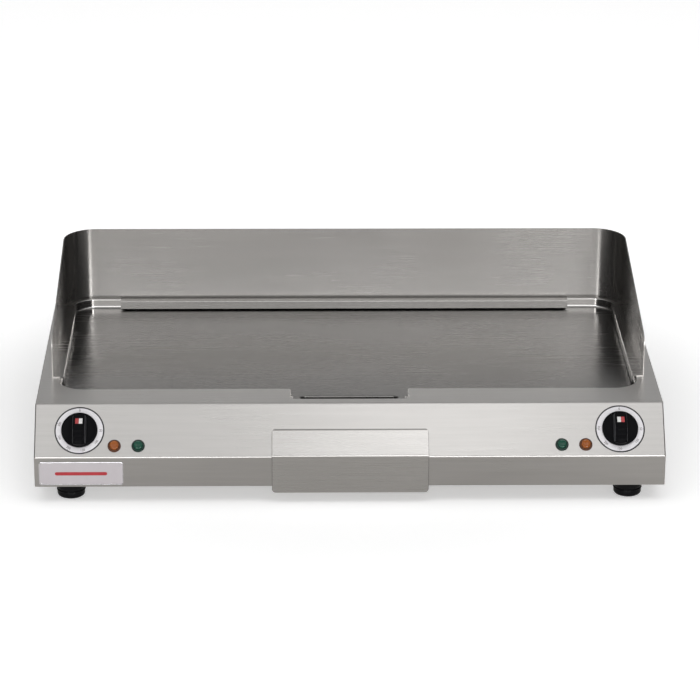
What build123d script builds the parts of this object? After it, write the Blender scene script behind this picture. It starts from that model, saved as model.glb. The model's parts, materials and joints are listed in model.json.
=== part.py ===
"""Electric flat top griddle: a table-top catering griddle with a lift-off splash guard.

Millimetres, +X to the cook's right, +Y to the back, +Z up, z = 0 at the underside of the feet.
The model is drawn with y = 0 on the front apron and saved with y = 0 at the middle of its depth.
"""
import os
from math import atan2, cos, degrees, hypot, radians, sin

from build123d import *

# ---------------------------------------------------------------- driving dimensions
sheet = 1.5                  # stainless sheet of the housing, guard and drawer front
thin_sheet = 1.2             # sheet of the tray, chute, runners and heat shield
face_gap = 0.4               # gap kept between sheets that slide past each other
small_gap = 0.3              # gap kept between round or hidden neighbours

body_width = 885.0
body_depth = 500.0           # front apron to the outside of the rear panel
foot_height = 27.0           # floor to the lower edge of the apron
apron_height = 44.0
slope_rise = 60.0            # control panel, measured upright
slope_run = 53.0             # control panel, measured front to back
bend_radius = 4.0
return_width = 12.0          # inward flanges that the base and rear panels screw to

side_ledge = 28.5            # deck left on each side of the sunk cooking area
front_ledge = 56.0           # deck left in front of it
rear_ledge = 19.0            # deck left behind it
recess_radius = 36.0
recess_depth = 13.5          # deck down to the cooking face
rim_radius = 2.0
notch_width = 166.0
notch_reach = 38.5           # how far the drain notch comes forward of the sunk area
notch_radius = 8.0
notch_mouth_radius = 3.0
plate_thickness = 12.0
plate_overlap = 8.0          # how far the plate reaches under the collar

drain_length = 138.0
drain_depth = 37.0           # front to back
drain_margin = 5.5           # from the front of the notch
drain_radius = 8.0
drain_lip_radius = 2.5
chute_length = 10.0          # below the plate
chute_flange = 5.0
chute_to_rim = 1.5           # end of the chute above the rim of the tray

guard_inset_side = 17.0      # outer face of the guard in from the side of the body
guard_inset_rear = 13.5
guard_setback = 43.5         # front edges of its sides behind the front of the sunk area
guard_height = 112.0         # above the deck
guard_front_height = 58.0    # where the slanted side top meets the front edge
guard_front_radius = 18.0
guard_corner_radius = 47.0   # outer, in plan
hook_reach_rear = 13.5       # lip of the rear hook rail inside the sunk area
hook_reach_side = 5.5
hook_drop = 11.0             # lip below the deck
hook_end_gap = 35.0          # end of the rear rail short of the round corner
side_hook_past_corner = 6.0  # side rails run past the start of the round corner

tray_width = 194.0
tray_beyond_drain = 23.0     # back of the tray behind the drain slot
tray_front_rise = 8.0        # how much the tray is drawn above its rim before it is cut level
tray_clearance = 3.0         # opening in the housing beside and above the tray
drawer_front_lap = 10.0      # front sheet beyond the opening on each side
drawer_front_top_lap = 5.8   # and above it, along the control panel
drawer_front_lift = 1.4      # gap between the front sheet and the control panel
drawer_front_drop = 9.6      # how far it hangs below the apron
drawer_corner_radius = 5.0
finger_lip = 8.0
runner_height = 15.0
runner_ledge = 16.0
runner_start = 14.0
runner_stop_width = 8.0
runner_stop_length = 4.0

knob_inset = 63.0            # knob centre in from the side of the body
knob_radius = 25.5
knob_skirt = 6.0
knob_wall = 3.0
grip_peak = (-4.2, 21.6)     # (up the panel, out of it) in knob axes
grip_end = (20.5, 13.6)
grip_inset = 1.2             # grip inside the rim of the skirt
grip_top_width = 16.0
grip_bottom_width = 26.0
flag_size = (10.4, 9.2, 1.2)
flag_up = 8.6                # centre of the marker up from the knob's axis
dial_radius = 35.0
dial_thickness = 0.5
dial_under_knob = 6.5        # how far the dial reaches under the skirt
spindle_radius = 3.0
spindle_flat = 1.2           # depth of the flat that drives the knob
spindle_grip = 12.0          # how far the spindle enters the knob
knob_lift = 0.6              # underside of the knob above the dial
can_radius = 16.0            # thermostat
can_depth = 30.0
bush_radius = 4.6
thermostat_screw_radius = 1.5
screw_spread = 12.0          # thermostat screws either side of the spindle
lamp_offsets = (49.0, 82.5)  # lamp centres inward from the knob centre
lamp_height_on_slope = 17.3
lamp_radius = 9.3
lamp_flange = 2.2
lamp_cap_radius = 6.6
lamp_cap_height = 6.0
lamp_body_radius = 6.0
lamp_body_depth = 22.0
blade_length = 8.0

badge_width = 118.0
badge_left_margin = 6.5
badge_bottom_margin = 2.8
badge_top_margin = 6.7
badge_thickness = 0.8
badge_radius = 4.0

foot_radius = 20.5
foot_inset_side = 48.5
foot_inset_front = 36.0
foot_inset_rear = 45.0
foot_seat_radius = 9.0
foot_seat_depth = 9.0

element_radius = 4.25
element_bend = 26.0
element_rows = 6
element_margin = 23.0        # first and last run in from the heat shield's walls
element_outer_margin = 16.0
element_inner_x = 52.0
element_lead = 22.0          # leads in front of the heat shield
clamp_margins = (40.0, 48.0)  # clamp bars in from the inner and outer bends
bar_width = 20.0
bar_thickness = 2.0
bar_overhang = 12.0
stud_radius = 3.0            # M6
stud_tip = 7.0               # stud below the clamp bar
nut_height = 5.0
shield_setback = 33.0        # heat shield behind the front of the sunk area
shield_inset_side = 10.0
shield_inset_rear = 3.0
shield_depth = 33.5
mat_thickness = 13.0
spacer_x = 26.0
spacer_insets = (58.0, 48.0)  # from the shield's front and rear walls
spacer_radius = 4.0
spacer_screw_radius = 2.5
sensor_margin = 10.0         # sensor bulb behind the shield's front wall
sensor_inset = 46.0          # its centre in from the shield's side wall
sensor_half_length = 20.0
sensor_radius = 3.0
capillary_radius = 1.0

sheet_screw_radius = 1.8
sheet_screw_hole = 2.1
gland_bore_radius = 6.0
gland_thread_radius = 10.0
gland_length = 25.0          # how far the gland stands out of the rear panel
gland_inset = 112.5          # its centre in from the side of the body
gland_height = 36.0          # above the lower edge of the apron
terminal_half_width = 36.0
terminal_half_depth = 11.0
terminal_ahead = 60.0        # terminal block in front of the rear panel
terminal_beside = 70.0       # and inward of the gland
bonding_inset = 62.5
bonding_height = 34.0
bonding_shoulder_radius = 3.5
bonding_nut_height = 4.5
bonding_pin_length = 16.0    # free M6 pin behind the outer nut
vent_count = 12
vent_pitch = 14.0
vent_width = 5.0
vent_inset = 262.5           # centre of each row of vents in from the side
cutout_inset = 62.5          # over-temperature cut-out in from the side
loom_radius = 3.5
loom_bend = 12.0

# ---------------------------------------------------------------- derived values
half_width = body_width / 2
base_z = foot_height
bend_z = base_z + apron_height
deck_z = bend_z + slope_rise
slope_angle = degrees(atan2(slope_rise, slope_run))
slope_length = hypot(slope_rise, slope_run)
slope_middle = slope_length / 2
housing_depth = body_depth - sheet
base_plate_z = base_z + sheet
base_top = base_plate_z + sheet

recess_width = body_width - 2 * side_ledge
recess_front = slope_run + front_ledge
recess_rear = body_depth - rear_ledge
notch_front = recess_front - notch_reach
drain_front = notch_front + drain_margin
drain_rear = drain_front + drain_depth
plate_top = deck_z - recess_depth
plate_bottom = plate_top - plate_thickness
chute_bottom = plate_bottom - chute_length

guard_width = body_width - 2 * guard_inset_side
guard_rear = body_depth - guard_inset_rear
guard_front = recess_front + guard_setback
guard_top = deck_z + guard_height
rear_lip_y = recess_rear - hook_reach_rear
side_lip_x = recess_width / 2 - hook_reach_side    # inner face of the lip
rear_hook_half = recess_width / 2 - recess_radius - hook_end_gap
side_hook_rear = recess_rear - recess_radius + side_hook_past_corner

tray_rear = drain_rear + tray_beyond_drain
tray_floor = base_top + thin_sheet + small_gap     # underside of the tray, on its runners
tray_rim = chute_bottom - chute_to_rim
tray_opening_half = tray_width / 2 + tray_clearance
tray_opening_top = tray_rim + tray_clearance
drawer_front_width = 2 * (tray_opening_half + drawer_front_lap)
drawer_front_overlap = (tray_opening_top - bend_z) / sin(radians(slope_angle)) + drawer_front_top_lap

knob_x = half_width - knob_inset
knob_seat = dial_thickness + knob_lift    # underside of the knob above the panel
socket_top = knob_seat + spindle_grip     # end of the spindle inside the knob

shield_front = recess_front + shield_setback
shield_rear = recess_rear - shield_inset_rear
shield_half_width = recess_width / 2 - shield_inset_side
shield_floor = plate_bottom - shield_depth
element_z = plate_bottom - element_radius
element_lead_y = shield_front - element_lead
element_outer_x = shield_half_width - element_outer_margin
element_first_row = shield_front + element_margin
element_row_pitch = (shield_rear - element_margin - element_first_row) / (element_rows - 1)
bar_top = plate_bottom - 2 * element_radius
bar_bottom = bar_top - bar_thickness
sensor_x = shield_half_width - sensor_inset
sensor_y = shield_front + sensor_margin
capillary_x = sensor_x - sensor_half_length - 14.0

gland_x = half_width - gland_inset
gland_z = base_z + gland_height
terminal_x = gland_x - terminal_beside
terminal_y = body_depth - terminal_ahead
bonding_x = bonding_inset - half_width
bonding_z = base_z + bonding_height
vent_x = half_width - vent_inset
rear_extent = body_depth + gland_length
front_extent = -(face_gap + sheet)        # the drawer front stands proud of the apron
centre_y = (front_extent + rear_extent) / 2


# ---------------------------------------------------------------- helpers
def save(name, shape):
    """Write one sub-part with the shared origin at the middle of the depth."""
    export_step(Pos(0, -centre_y, 0) * shape, f"parts/{name}.step")


def block(x0, x1, y0, y1, z0, z1):
    """A box between two corners."""
    return Pos((x0 + x1) / 2, (y0 + y1) / 2, (z0 + z1) / 2) * Box(abs(x1 - x0), abs(y1 - y0), abs(z1 - z0))


def side_profile(points):
    """A face in the upright plane that runs front to back, from (y, z) points."""
    return Plane.YZ * make_face(Polyline(*points, close=True))


def across(face, half):
    """Thicken a side profile symmetrically across the width."""
    return extrude(face, amount=half, both=True)


def slope_point(s, lift=0.0):
    """(y, z) on the control panel, s up its slope and lifted off its outer face."""
    angle = radians(slope_angle)
    return (s * cos(angle) - lift * sin(angle), bend_z + s * sin(angle) + lift * cos(angle))


def skin_corner(apron_lift, slope_lift):
    """(y, z) where apron and slope meet when each is lifted outward."""
    angle = radians(slope_angle)
    return (-apron_lift, bend_z + (slope_lift - apron_lift * sin(angle)) / cos(angle))


def slope_distance(z, lift=0.0):
    """Distance up the control panel to the height z, on a face lifted off it."""
    angle = radians(slope_angle)
    return (z - bend_z - lift * cos(angle)) / sin(angle)


def panel_location(x, s):
    """Local axes on the control panel: x to the right, y up the slope, z out of it."""
    y, z = slope_point(s)
    angle = radians(slope_angle)
    return Plane(origin=(x, y, z), x_dir=(1, 0, 0), z_dir=(0, -sin(angle), cos(angle)))


def on_panel(x, s, shape):
    """Place a shape drawn in panel axes."""
    return panel_location(x, s).location * shape


def ring(outer, inner, z0, z1):
    """A plain tube along z."""
    height = z1 - z0
    return Pos(0, 0, (z0 + z1) / 2) * (Cylinder(outer, height) - Cylinder(inner, height))


def rod(radius, z0, z1):
    """A round bar along z."""
    return Pos(0, 0, (z0 + z1) / 2) * Cylinder(radius, z1 - z0)


def hex_bar(across_flats, z0, z1):
    """A hexagonal bar along z."""
    face = RegularPolygon(across_flats / 2, 6, major_radius=False)
    return Pos(0, 0, z0) * extrude(face, amount=z1 - z0)


def pan_screw(shank_radius, length):
    """A slotted pan-head screw pointing along -z, its head above z = 0."""
    head_radius = shank_radius * 1.9
    head_height = 1.6
    slot_half = 0.4
    head = fillet(rod(head_radius, 0, head_height).edges().group_by(Axis.Z)[-1], head_height * 0.6)
    head -= block(-slot_half, slot_half, -head_radius, head_radius, head_height / 2, head_height)
    return head + rod(shank_radius, -length, 0)


def nut(thread_radius, height):
    """A hexagonal nut on z, from z = 0 up."""
    return hex_bar(thread_radius * 3.2, 0, height) - rod(thread_radius, 0, height)


def group(shapes):
    """Several separate solids kept in one node."""
    return Compound(list(shapes))


def run_tube(points, radius, bend):
    """A round tube along straight runs joined by arcs."""
    path = FilletPolyline(*points, radius=bend)
    section = Plane(origin=path @ 0, z_dir=path % 0) * Circle(radius)
    return sweep(section, path=path)


# ---------------------------------------------------------------- opening in the deck
def rounded_box(width, front, rear, radius):
    """A rounded rectangle in plan."""
    return Pos(0, (front + rear) / 2) * RectangleRounded(width, rear - front, radius)


def deck_opening():
    """The sunk cooking area with its drain notch, in plan."""
    recess = rounded_box(recess_width, recess_front, recess_rear, recess_radius)
    tongue_depth = notch_reach + 1
    tongue = Pos(0, notch_front + tongue_depth / 2) * Rectangle(notch_width, tongue_depth)
    outline = recess + tongue
    front_corners = outline.vertices().filter_by(lambda v: abs(v.Y - notch_front) < 0.1)
    outline = fillet(front_corners, notch_radius)
    mouth = outline.vertices().filter_by(
        lambda v: abs(v.Y - recess_front) < 0.1 and abs(abs(v.X) - notch_width / 2) < 0.1)
    return fillet(mouth, notch_mouth_radius)


opening = deck_opening()
drain = rounded_box(drain_length, drain_front, drain_rear, drain_radius)


# ---------------------------------------------------------------- housing and panels
def make_top_housing():
    """Deck, control panel, apron and sides, with the collar of the sunk area."""
    outline = [(0, base_z), (0, bend_z), (slope_run, deck_z), (housing_depth, deck_z), (housing_depth, base_z)]
    solid = across(side_profile(outline), half_width)
    bends = [e for e in solid.edges().filter_by(Axis.X) if abs(e.center().Z - bend_z) < 0.1
             or (abs(e.center().Z - deck_z) < 0.1 and e.center().Y < slope_run + 1)]
    solid = fillet(bends, bend_radius)
    ends = [e for e in solid.edges()
            if abs(abs(e.center().X) - half_width) < 0.1 and e.center().Z > base_z + 1
            and e.center().Y < housing_depth - 1]
    solid = fillet(ends, rim_radius)
    inner = offset(make_face(Polyline(*outline, close=True)), amount=-sheet, kind=Kind.INTERSECTION)
    shell = solid - across(Plane.YZ * inner, half_width - sheet)
    window = half_width - return_width
    window_rear = housing_depth - return_width
    shell -= block(-window, window, return_width, window_rear, base_z - 1, base_z + sheet + 0.5)
    shell -= block(-window, window, housing_depth - sheet - 0.5, housing_depth + 1,
                   base_z + return_width, deck_z - return_width)
    shell -= Pos(0, 0, deck_z - 2 * sheet) * extrude(opening, amount=4 * sheet)
    wall = offset(opening, amount=sheet, kind=Kind.ARC) - opening
    shell += Pos(0, 0, plate_top) * extrude(wall, amount=deck_z - plate_top)
    rim = [e for e in shell.edges().group_by(Axis.Z)[-1] if abs(e.center().X) < recess_width / 2 + 0.1
           and notch_front - 0.1 < e.center().Y < recess_rear + 0.1]
    shell = fillet(rim, rim_radius)
    mouth_rear = slope_point(slope_distance(tray_opening_top))[0] + 2 * sheet
    shell -= block(-tray_opening_half, tray_opening_half, -5, mouth_rear, base_z - 1, tray_opening_top)
    for side in (-1, 1):
        shell -= on_panel(side * knob_x, slope_middle, rod(bush_radius + face_gap, -10, 10))
        for sx in (-screw_spread, screw_spread):
            hole = rod(thermostat_screw_radius + small_gap, -10, 10)
            shell -= on_panel(side * knob_x + sx, slope_middle, hole)
        for step in lamp_offsets:
            hole = rod(lamp_body_radius + small_gap, -10, 10)
            shell -= on_panel(side * (knob_x - step), lamp_height_on_slope, hole)
    for x, y in base_screw_places():
        shell -= Pos(x, y, 0) * rod(sheet_screw_hole, base_z - 1, base_z + sheet + 1)
    for x, z in rear_screw_places():
        shell -= Pos(x, housing_depth - sheet / 2, z) * Rot(90, 0, 0) * rod(sheet_screw_hole, -3, 3)
    return shell


def base_screw_places():
    """(x, y) of the screws that hold the base plate to the return flanges."""
    x = half_width - return_width / 2
    first_y, last_y = 70, housing_depth - 83.5
    side_ys = [first_y + i * (last_y - first_y) / 3 for i in range(4)]
    sides = [(sx * x, y) for sx in (-1, 1) for y in side_ys]
    near_x, far_x = tray_opening_half + 50, 0.68 * half_width
    front = [(sx * fx, return_width / 2 + 0.5) for sx in (-1, 1) for fx in (near_x, far_x)]
    rear = [(rx, housing_depth - return_width / 2) for rx in (-far_x, -far_x / 3, far_x / 3, far_x)]
    return sides + front + rear


def rear_screw_places():
    """(x, z) of the screws that hold the rear panel."""
    x = half_width - return_width / 2
    top = deck_z - return_width / 2
    low = base_z + return_width / 2
    return [(rx, z) for z in (low + 4, top) for rx in (-x, -x / 2, 0, x / 2, x)]


def slot_row(count, pitch, length, width, height):
    """A row of round-ended slots along x, cut through the given height."""
    face = SlotOverall(length, width, rotation=90)
    return [Pos((i - (count - 1) / 2) * pitch, 0, -height / 2) * extrude(face, amount=height)
            for i in range(count)]


def foot_places():
    """(x, y) of the four feet, by name."""
    x = half_width - foot_inset_side
    return {"front_left": (-x, foot_inset_front), "front_right": (x, foot_inset_front),
            "rear_left": (-x, body_depth - foot_inset_rear), "rear_right": (x, body_depth - foot_inset_rear)}


def make_base_plate():
    """Bottom sheet that lies on the housing's return flanges, with vent slots."""
    edge = half_width - sheet - face_gap
    plate = block(-edge, edge, sheet + face_gap, housing_depth - sheet - face_gap, base_plate_z, base_top)
    for x in (-vent_x, vent_x):
        for slot in slot_row(vent_count, vent_pitch, 60, vent_width, 3 * sheet):
            plate -= Pos(x, 0.66 * body_depth, (base_plate_z + base_top) / 2) * slot
    for x, y in foot_places().values():
        plate -= Pos(x, y, 0) * rod(stud_radius + small_gap, base_z, base_top + 1)
    for x, y in base_screw_places():
        plate -= Pos(x, y, 0) * rod(sheet_screw_radius, base_z, base_top + 1)
    return plate


def make_rear_panel():
    """Back sheet screwed over the rear return flanges, with vents and two holes."""
    panel = block(-half_width + 1, half_width - 1, housing_depth, body_depth, base_z + 1, deck_z - 1)
    for x in (-vent_x, vent_x):
        for slot in slot_row(vent_count, vent_pitch, 40, vent_width, 3 * sheet):
            panel -= Pos(x, housing_depth + sheet / 2, (base_z + deck_z) / 2) * Rot(90, 0, 0) * slot
    gland_hole = (gland_x, gland_z, gland_thread_radius + small_gap)
    for x, z, radius in (gland_hole, (bonding_x, bonding_z, bonding_shoulder_radius)):
        panel -= Pos(x, housing_depth, z) * Rot(90, 0, 0) * rod(radius, -5, 5)
    for x, z in rear_screw_places():
        panel -= Pos(x, housing_depth, z) * Rot(90, 0, 0) * rod(sheet_screw_radius, -5, 5)
    return panel


def panel_screws():
    """Screws through the rear panel into the return flanges, heads outside."""
    screw = pan_screw(sheet_screw_radius, 2 * sheet + 3)
    return group(Pos(x, body_depth, z) * Rot(-90, 0, 0) * screw for x, z in rear_screw_places())


def base_screws():
    """Screws up through the return flanges into the base plate, heads underneath."""
    screw = pan_screw(sheet_screw_radius, base_top - base_z)
    return group(Pos(x, y, base_z) * Rot(180, 0, 0) * screw for x, y in base_screw_places())


# ---------------------------------------------------------------- cooking plate and drain
def make_griddle_plate():
    """Thick steel plate under the collar, with a tongue that holds the drain slot."""
    outline = offset(opening, amount=plate_overlap, kind=Kind.ARC)
    plate = Pos(0, 0, plate_bottom) * extrude(outline, amount=plate_thickness)
    plate -= Pos(0, 0, plate_bottom - 1) * extrude(drain, amount=plate_thickness + 2)
    lip = [e for e in plate.edges().group_by(Axis.Z)[-1] if abs(e.center().X) < drain_length / 2 + 0.1
           and drain_front - 0.1 < e.center().Y < drain_rear + 0.1]
    return fillet(lip, drain_lip_radius)


def make_drain_chute():
    """Flanged sleeve that leads grease from the slot into the drawer."""
    wall = offset(drain, amount=thin_sheet, kind=Kind.ARC)
    flange = offset(drain, amount=thin_sheet + chute_flange, kind=Kind.ARC)
    sleeve = Pos(0, 0, chute_bottom) * extrude(wall - drain, amount=plate_bottom - chute_bottom)
    return sleeve + Pos(0, 0, plate_bottom - thin_sheet) * extrude(flange - drain, amount=thin_sheet)


def element_row_ys():
    """Front to back places of the element's straight runs."""
    return [element_first_row + i * element_row_pitch for i in range(element_rows)]


def make_element(side):
    """Tubular heating element: straight runs joined by round bends, both leads forward."""
    rows = element_row_ys()
    inner = side * (element_inner_x + element_row_pitch)
    outer = side * element_outer_x
    lead = side * element_inner_x
    points = [(inner, element_lead_y), (inner, rows[0]), (outer, rows[0])]
    for i in range(1, element_rows):
        turn = outer if i % 2 else inner
        points.append((turn, rows[i]))
        points.append((inner if i % 2 else outer, rows[i]))
    points[-1] = (lead, rows[-1])
    points.append((lead, element_lead_y))
    return run_tube([(x, y, element_z) for x, y in points], element_radius, element_bend)


def bar_places(side):
    """x of the clamp bars of one element."""
    first = element_inner_x + element_row_pitch + clamp_margins[0]
    last = element_outer_x - clamp_margins[1]
    return [side * x for x in (first, (first + last) / 2, last)]


def stud_ys():
    """Front to back places of the studs, midway between element runs."""
    rows = element_row_ys()
    return [(rows[0] + rows[1]) / 2, (rows[-2] + rows[-1]) / 2]


def make_clamp_bars(side):
    """Strips that press one element against the plate."""
    rows = element_row_ys()
    bars = []
    for x in bar_places(side):
        bar = block(x - bar_width / 2, x + bar_width / 2, rows[0] - bar_overhang, rows[-1] + bar_overhang,
                    bar_bottom, bar_top)
        for y in stud_ys():
            bar -= Pos(x, y, 0) * rod(stud_radius + small_gap, bar_top - 5, bar_top + 5)
        bars.append(bar)
    return group(bars)


def stud_sites():
    """(x, y) of every stud welded under the plate."""
    return [(x, y) for side in (-1, 1) for x in bar_places(side) for y in stud_ys()]


def make_heat_shield():
    """Pan under the elements, with a flange against the plate and holes for the leads."""
    w, f, r = shield_half_width, shield_front, shield_rear
    outer = block(-w, w, f, r, shield_floor, plate_bottom)
    pan = outer - block(-w + thin_sheet, w - thin_sheet, f + thin_sheet, r - thin_sheet,
                        shield_floor + thin_sheet, plate_bottom + 1)
    for side in (-1, 1):
        for x in (element_inner_x, element_inner_x + element_row_pitch, capillary_x):
            pan -= Pos(side * x, f, element_z) * Rot(90, 0, 0) * rod(element_radius + small_gap, -5, 5)
    for x, y in spacer_sites():
        pan -= Pos(x, y, 0) * rod(spacer_screw_radius, shield_floor - 1, shield_floor + 3)
    return pan


def spacer_sites():
    """(x, y) of the spacers that hold the heat shield to the plate."""
    ys = (shield_front + spacer_insets[0], shield_rear - spacer_insets[1])
    return [(side * spacer_x, y) for side in (-1, 1) for y in ys]


def make_insulation_mat():
    """Ceramic fibre mat that lies in the heat shield."""
    edge = thin_sheet + 1
    floor = shield_floor + thin_sheet
    mat = block(-shield_half_width + edge, shield_half_width - edge, shield_front + edge, shield_rear - edge,
                floor, floor + mat_thickness)
    for x, y in spacer_sites():
        mat -= Pos(x, y, 0) * rod(spacer_radius + small_gap, floor - 1, floor + mat_thickness + 1)
    return mat


# ---------------------------------------------------------------- splash guard
def make_splash_guard():
    """U-shaped guard: tall back, slanted sides, and hook rails that hang in the recess."""
    w = guard_width / 2
    r = guard_corner_radius
    depth = guard_rear - guard_front
    plan = Pos(0, guard_front + depth / 2) * Rectangle(guard_width, depth)
    plan = fillet(plan.vertices().group_by(Axis.Y)[-1], r)
    hollow = Pos(0, guard_front + (depth - sheet) / 2) * Rectangle(guard_width - 2 * sheet, depth - sheet)
    hollow = fillet(hollow.vertices().group_by(Axis.Y)[-1], r - sheet)
    wall = Pos(0, 0, deck_z) * extrude(plan - hollow, amount=guard_height)
    side_line = [(guard_front, deck_z), (guard_front, deck_z + guard_front_height),
                 (guard_rear - r, guard_top), (guard_rear, guard_top), (guard_rear, deck_z)]
    face = make_face(Polyline(*side_line, close=True))
    nose = face.vertices().filter_by(lambda v: abs(v.Y - deck_z - guard_front_height) < 0.1)
    wall &= across(Plane.YZ * fillet(nose, guard_front_radius), w)
    inner_back = guard_rear - sheet
    lip_bottom, lip_top = deck_z - hook_drop, deck_z + sheet
    lip_y = rear_lip_y
    wall += block(-rear_hook_half, rear_hook_half, lip_y, inner_back + sheet / 3, deck_z, lip_top)
    wall += block(-rear_hook_half, rear_hook_half, lip_y, lip_y + sheet, lip_bottom, lip_top)
    for side in (-1, 1):
        face_x = side * (w - sheet * 2 / 3)
        lip_x = side * side_lip_x
        flange = block(lip_x, face_x, guard_front, side_hook_rear, deck_z, lip_top)
        wall += flange & Pos(0, 0, deck_z) * extrude(plan, amount=sheet)
        wall += block(lip_x, lip_x + side * sheet, guard_front, side_hook_rear, lip_bottom, lip_top)
    folds = [e for e in wall.edges() if abs(e.center().Z - lip_top) < 0.05
             and (abs(e.center().Y - lip_y) < 0.05 or abs(abs(e.center().X) - side_lip_x) < 0.05)]
    return fillet(folds, sheet * 0.9)


# ---------------------------------------------------------------- grease drawer
def make_drawer_tray():
    """Open tray whose front follows the bent front sheet."""
    half = tray_width / 2
    low = skin_corner(face_gap, face_gap)
    tall = tray_rim + tray_front_rise
    front_top = slope_point(slope_distance(tall, face_gap), face_gap)
    outline = [(-face_gap, tray_floor), low, front_top, (tray_rear, tall), (tray_rear, tray_floor)]
    outer = across(side_profile(outline), half)
    inner = offset(make_face(Polyline(*outline, close=True)), amount=-thin_sheet, kind=Kind.INTERSECTION)
    tray = outer - across(Plane.YZ * inner, half - thin_sheet)
    return tray - block(-half - 1, half + 1, -10, tray_rear + 10, tray_rim, tall + 1)


def make_drawer_front():
    """Bent sheet that covers the drawer's opening and hangs below it as a finger pull."""
    low = base_z - drawer_front_drop

    def skin(lift):
        apron, slope = face_gap + lift, drawer_front_lift + lift
        return [slope_point(drawer_front_overlap, slope), skin_corner(apron, slope), (-apron, low)]

    outer = skin(sheet)
    front = across(side_profile(skin(0) + outer[::-1]), drawer_front_width / 2)
    bend = [e for e in front.edges().filter_by(Axis.X) if abs(e.center().Z - outer[1][1]) < 0.05]
    front = fillet(bend, bend_radius)
    corners = [e for e in front.edges() if abs(abs(e.center().X) - drawer_front_width / 2) < 0.05
               and abs(e.length - sheet) < 0.05]
    front = fillet(corners, drawer_corner_radius)
    half_lip = drawer_front_width / 2 - 2 * drawer_corner_radius
    return front + block(-half_lip, half_lip, -face_gap - sheet / 2, finger_lip, low, low + sheet)


def make_runner(side):
    """Angle rail with a ledge under the tray and an upright beside it."""
    wall_x = tray_width / 2 + face_gap
    rear = tray_rear + runner_stop_length
    ledge = block(side * (wall_x - runner_ledge), side * (wall_x + thin_sheet), runner_start, rear,
                  base_top, tray_floor - small_gap)
    upright = block(side * wall_x, side * (wall_x + thin_sheet), runner_start, rear,
                    base_top, base_top + runner_height)
    stop = block(side * (wall_x - runner_stop_width), side * (wall_x + thin_sheet), tray_rear + small_gap, rear,
                 base_top, base_top + runner_height)
    return ledge + upright + stop


# ---------------------------------------------------------------- controls
def spindle_flat_cut(z0, z1):
    """The block that turns a round spindle into a D section."""
    return block(-5, 5, spindle_radius - spindle_flat, spindle_radius + 3, z0, z1)


def knob_body():
    """Knob in panel axes: a hollow round skirt with a raised, stepped grip bar."""
    r = knob_radius
    skirt = Pos(0, 0, knob_seat) * extrude(Circle(r), amount=knob_skirt - knob_seat, taper=3)
    skirt = fillet(skirt.edges().group_by(Axis.Z)[-1], 1.5)
    top, low = grip_top_width / 2, grip_bottom_width / 2
    plan = make_face(Polyline((-low, -r), (low, -r), (top, r), (-top, r), close=True))
    grip = extrude(plan, amount=grip_peak[1] + 1) & rod(r - grip_inset, knob_seat, grip_peak[1] + 1)
    crest = [(-r, knob_seat), (-r, 10.5), (-19.0, 12.2), (-15.4, 14.6), (-14.2, 17.4), (-6.2, 18.5),
             grip_peak, grip_end, (grip_end[0], knob_seat)]
    grip &= across(side_profile(crest), r)
    hollow = ring(r - knob_wall, spindle_radius + knob_wall, knob_seat - 1, knob_skirt - 1.8)
    bore = rod(spindle_radius, knob_seat - 1, socket_top) - spindle_flat_cut(knob_seat - 2, socket_top + 1)
    return skirt + grip - hollow - bore - flag_body()


def spindle_body():
    """D-ended spindle in panel axes, from inside the thermostat to inside the knob."""
    return rod(spindle_radius, -16, socket_top) - spindle_flat_cut(knob_seat, socket_top + 1)


def flag_body():
    """Marker plate let into the grip's upper facet, its two tones side by side."""
    fall = (grip_peak[1] - grip_end[1]) / (grip_end[0] - grip_peak[0])
    height = grip_end[1] + fall * (grip_end[0] - flag_up)
    return Pos(0, flag_up, height) * Rot(-degrees(atan2(fall, 1)), 0, 0) * Box(*flag_size)


def dial_body():
    """Printed dial disc around the knob, in panel axes."""
    return ring(dial_radius, knob_radius - dial_under_knob, 0, dial_thickness)


def thermostat_body():
    """Thermostat in panel axes: bush, mounting plate, round can and terminal block."""
    back = -sheet
    mount = 2.0
    plate = Pos(0, 0, back - mount) * extrude(RectangleRounded(42, 20, 4), amount=mount)
    body = plate + rod(can_radius, back - can_depth, back - mount) + rod(bush_radius, back, 0.3)
    body += Pos(0, 0, back - 26) * extrude(RectangleRounded(36, 30, 3), amount=12)
    body -= rod(spindle_radius + 0.05, -17, 1)
    for x in (-screw_spread, screw_spread):
        body -= Pos(x, 0, 0) * rod(thermostat_screw_radius, back - 9, 0)
    return body


def lens_body():
    """Pilot lamp lens in panel axes: flange, cone and raised cap."""
    lens = rod(lamp_radius, 0, lamp_flange)
    lens = chamfer(lens.edges().group_by(Axis.Z)[-1], 1.0)
    cap = extrude(Circle(lamp_cap_radius), amount=lamp_cap_height - lamp_flange, taper=8)
    cap = fillet(cap.edges().group_by(Axis.Z)[-1], 1.2)
    return lens + Pos(0, 0, lamp_flange) * cap


def holder_body():
    """Lamp holder behind the lens, with two blade terminals."""
    back = -lamp_body_depth
    holder = rod(lamp_body_radius, back, 0)
    for x in (-2.8, 2.8):
        holder += Pos(x, 0, 0) * block(-0.4, 0.4, -2.4, 2.4, back - blade_length, back)
    return holder


def lamp_nut_body():
    """Spring nut that holds a lamp behind the panel."""
    return ring(lamp_body_radius + 2.5, lamp_body_radius, -sheet - 2.5, -sheet)


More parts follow.
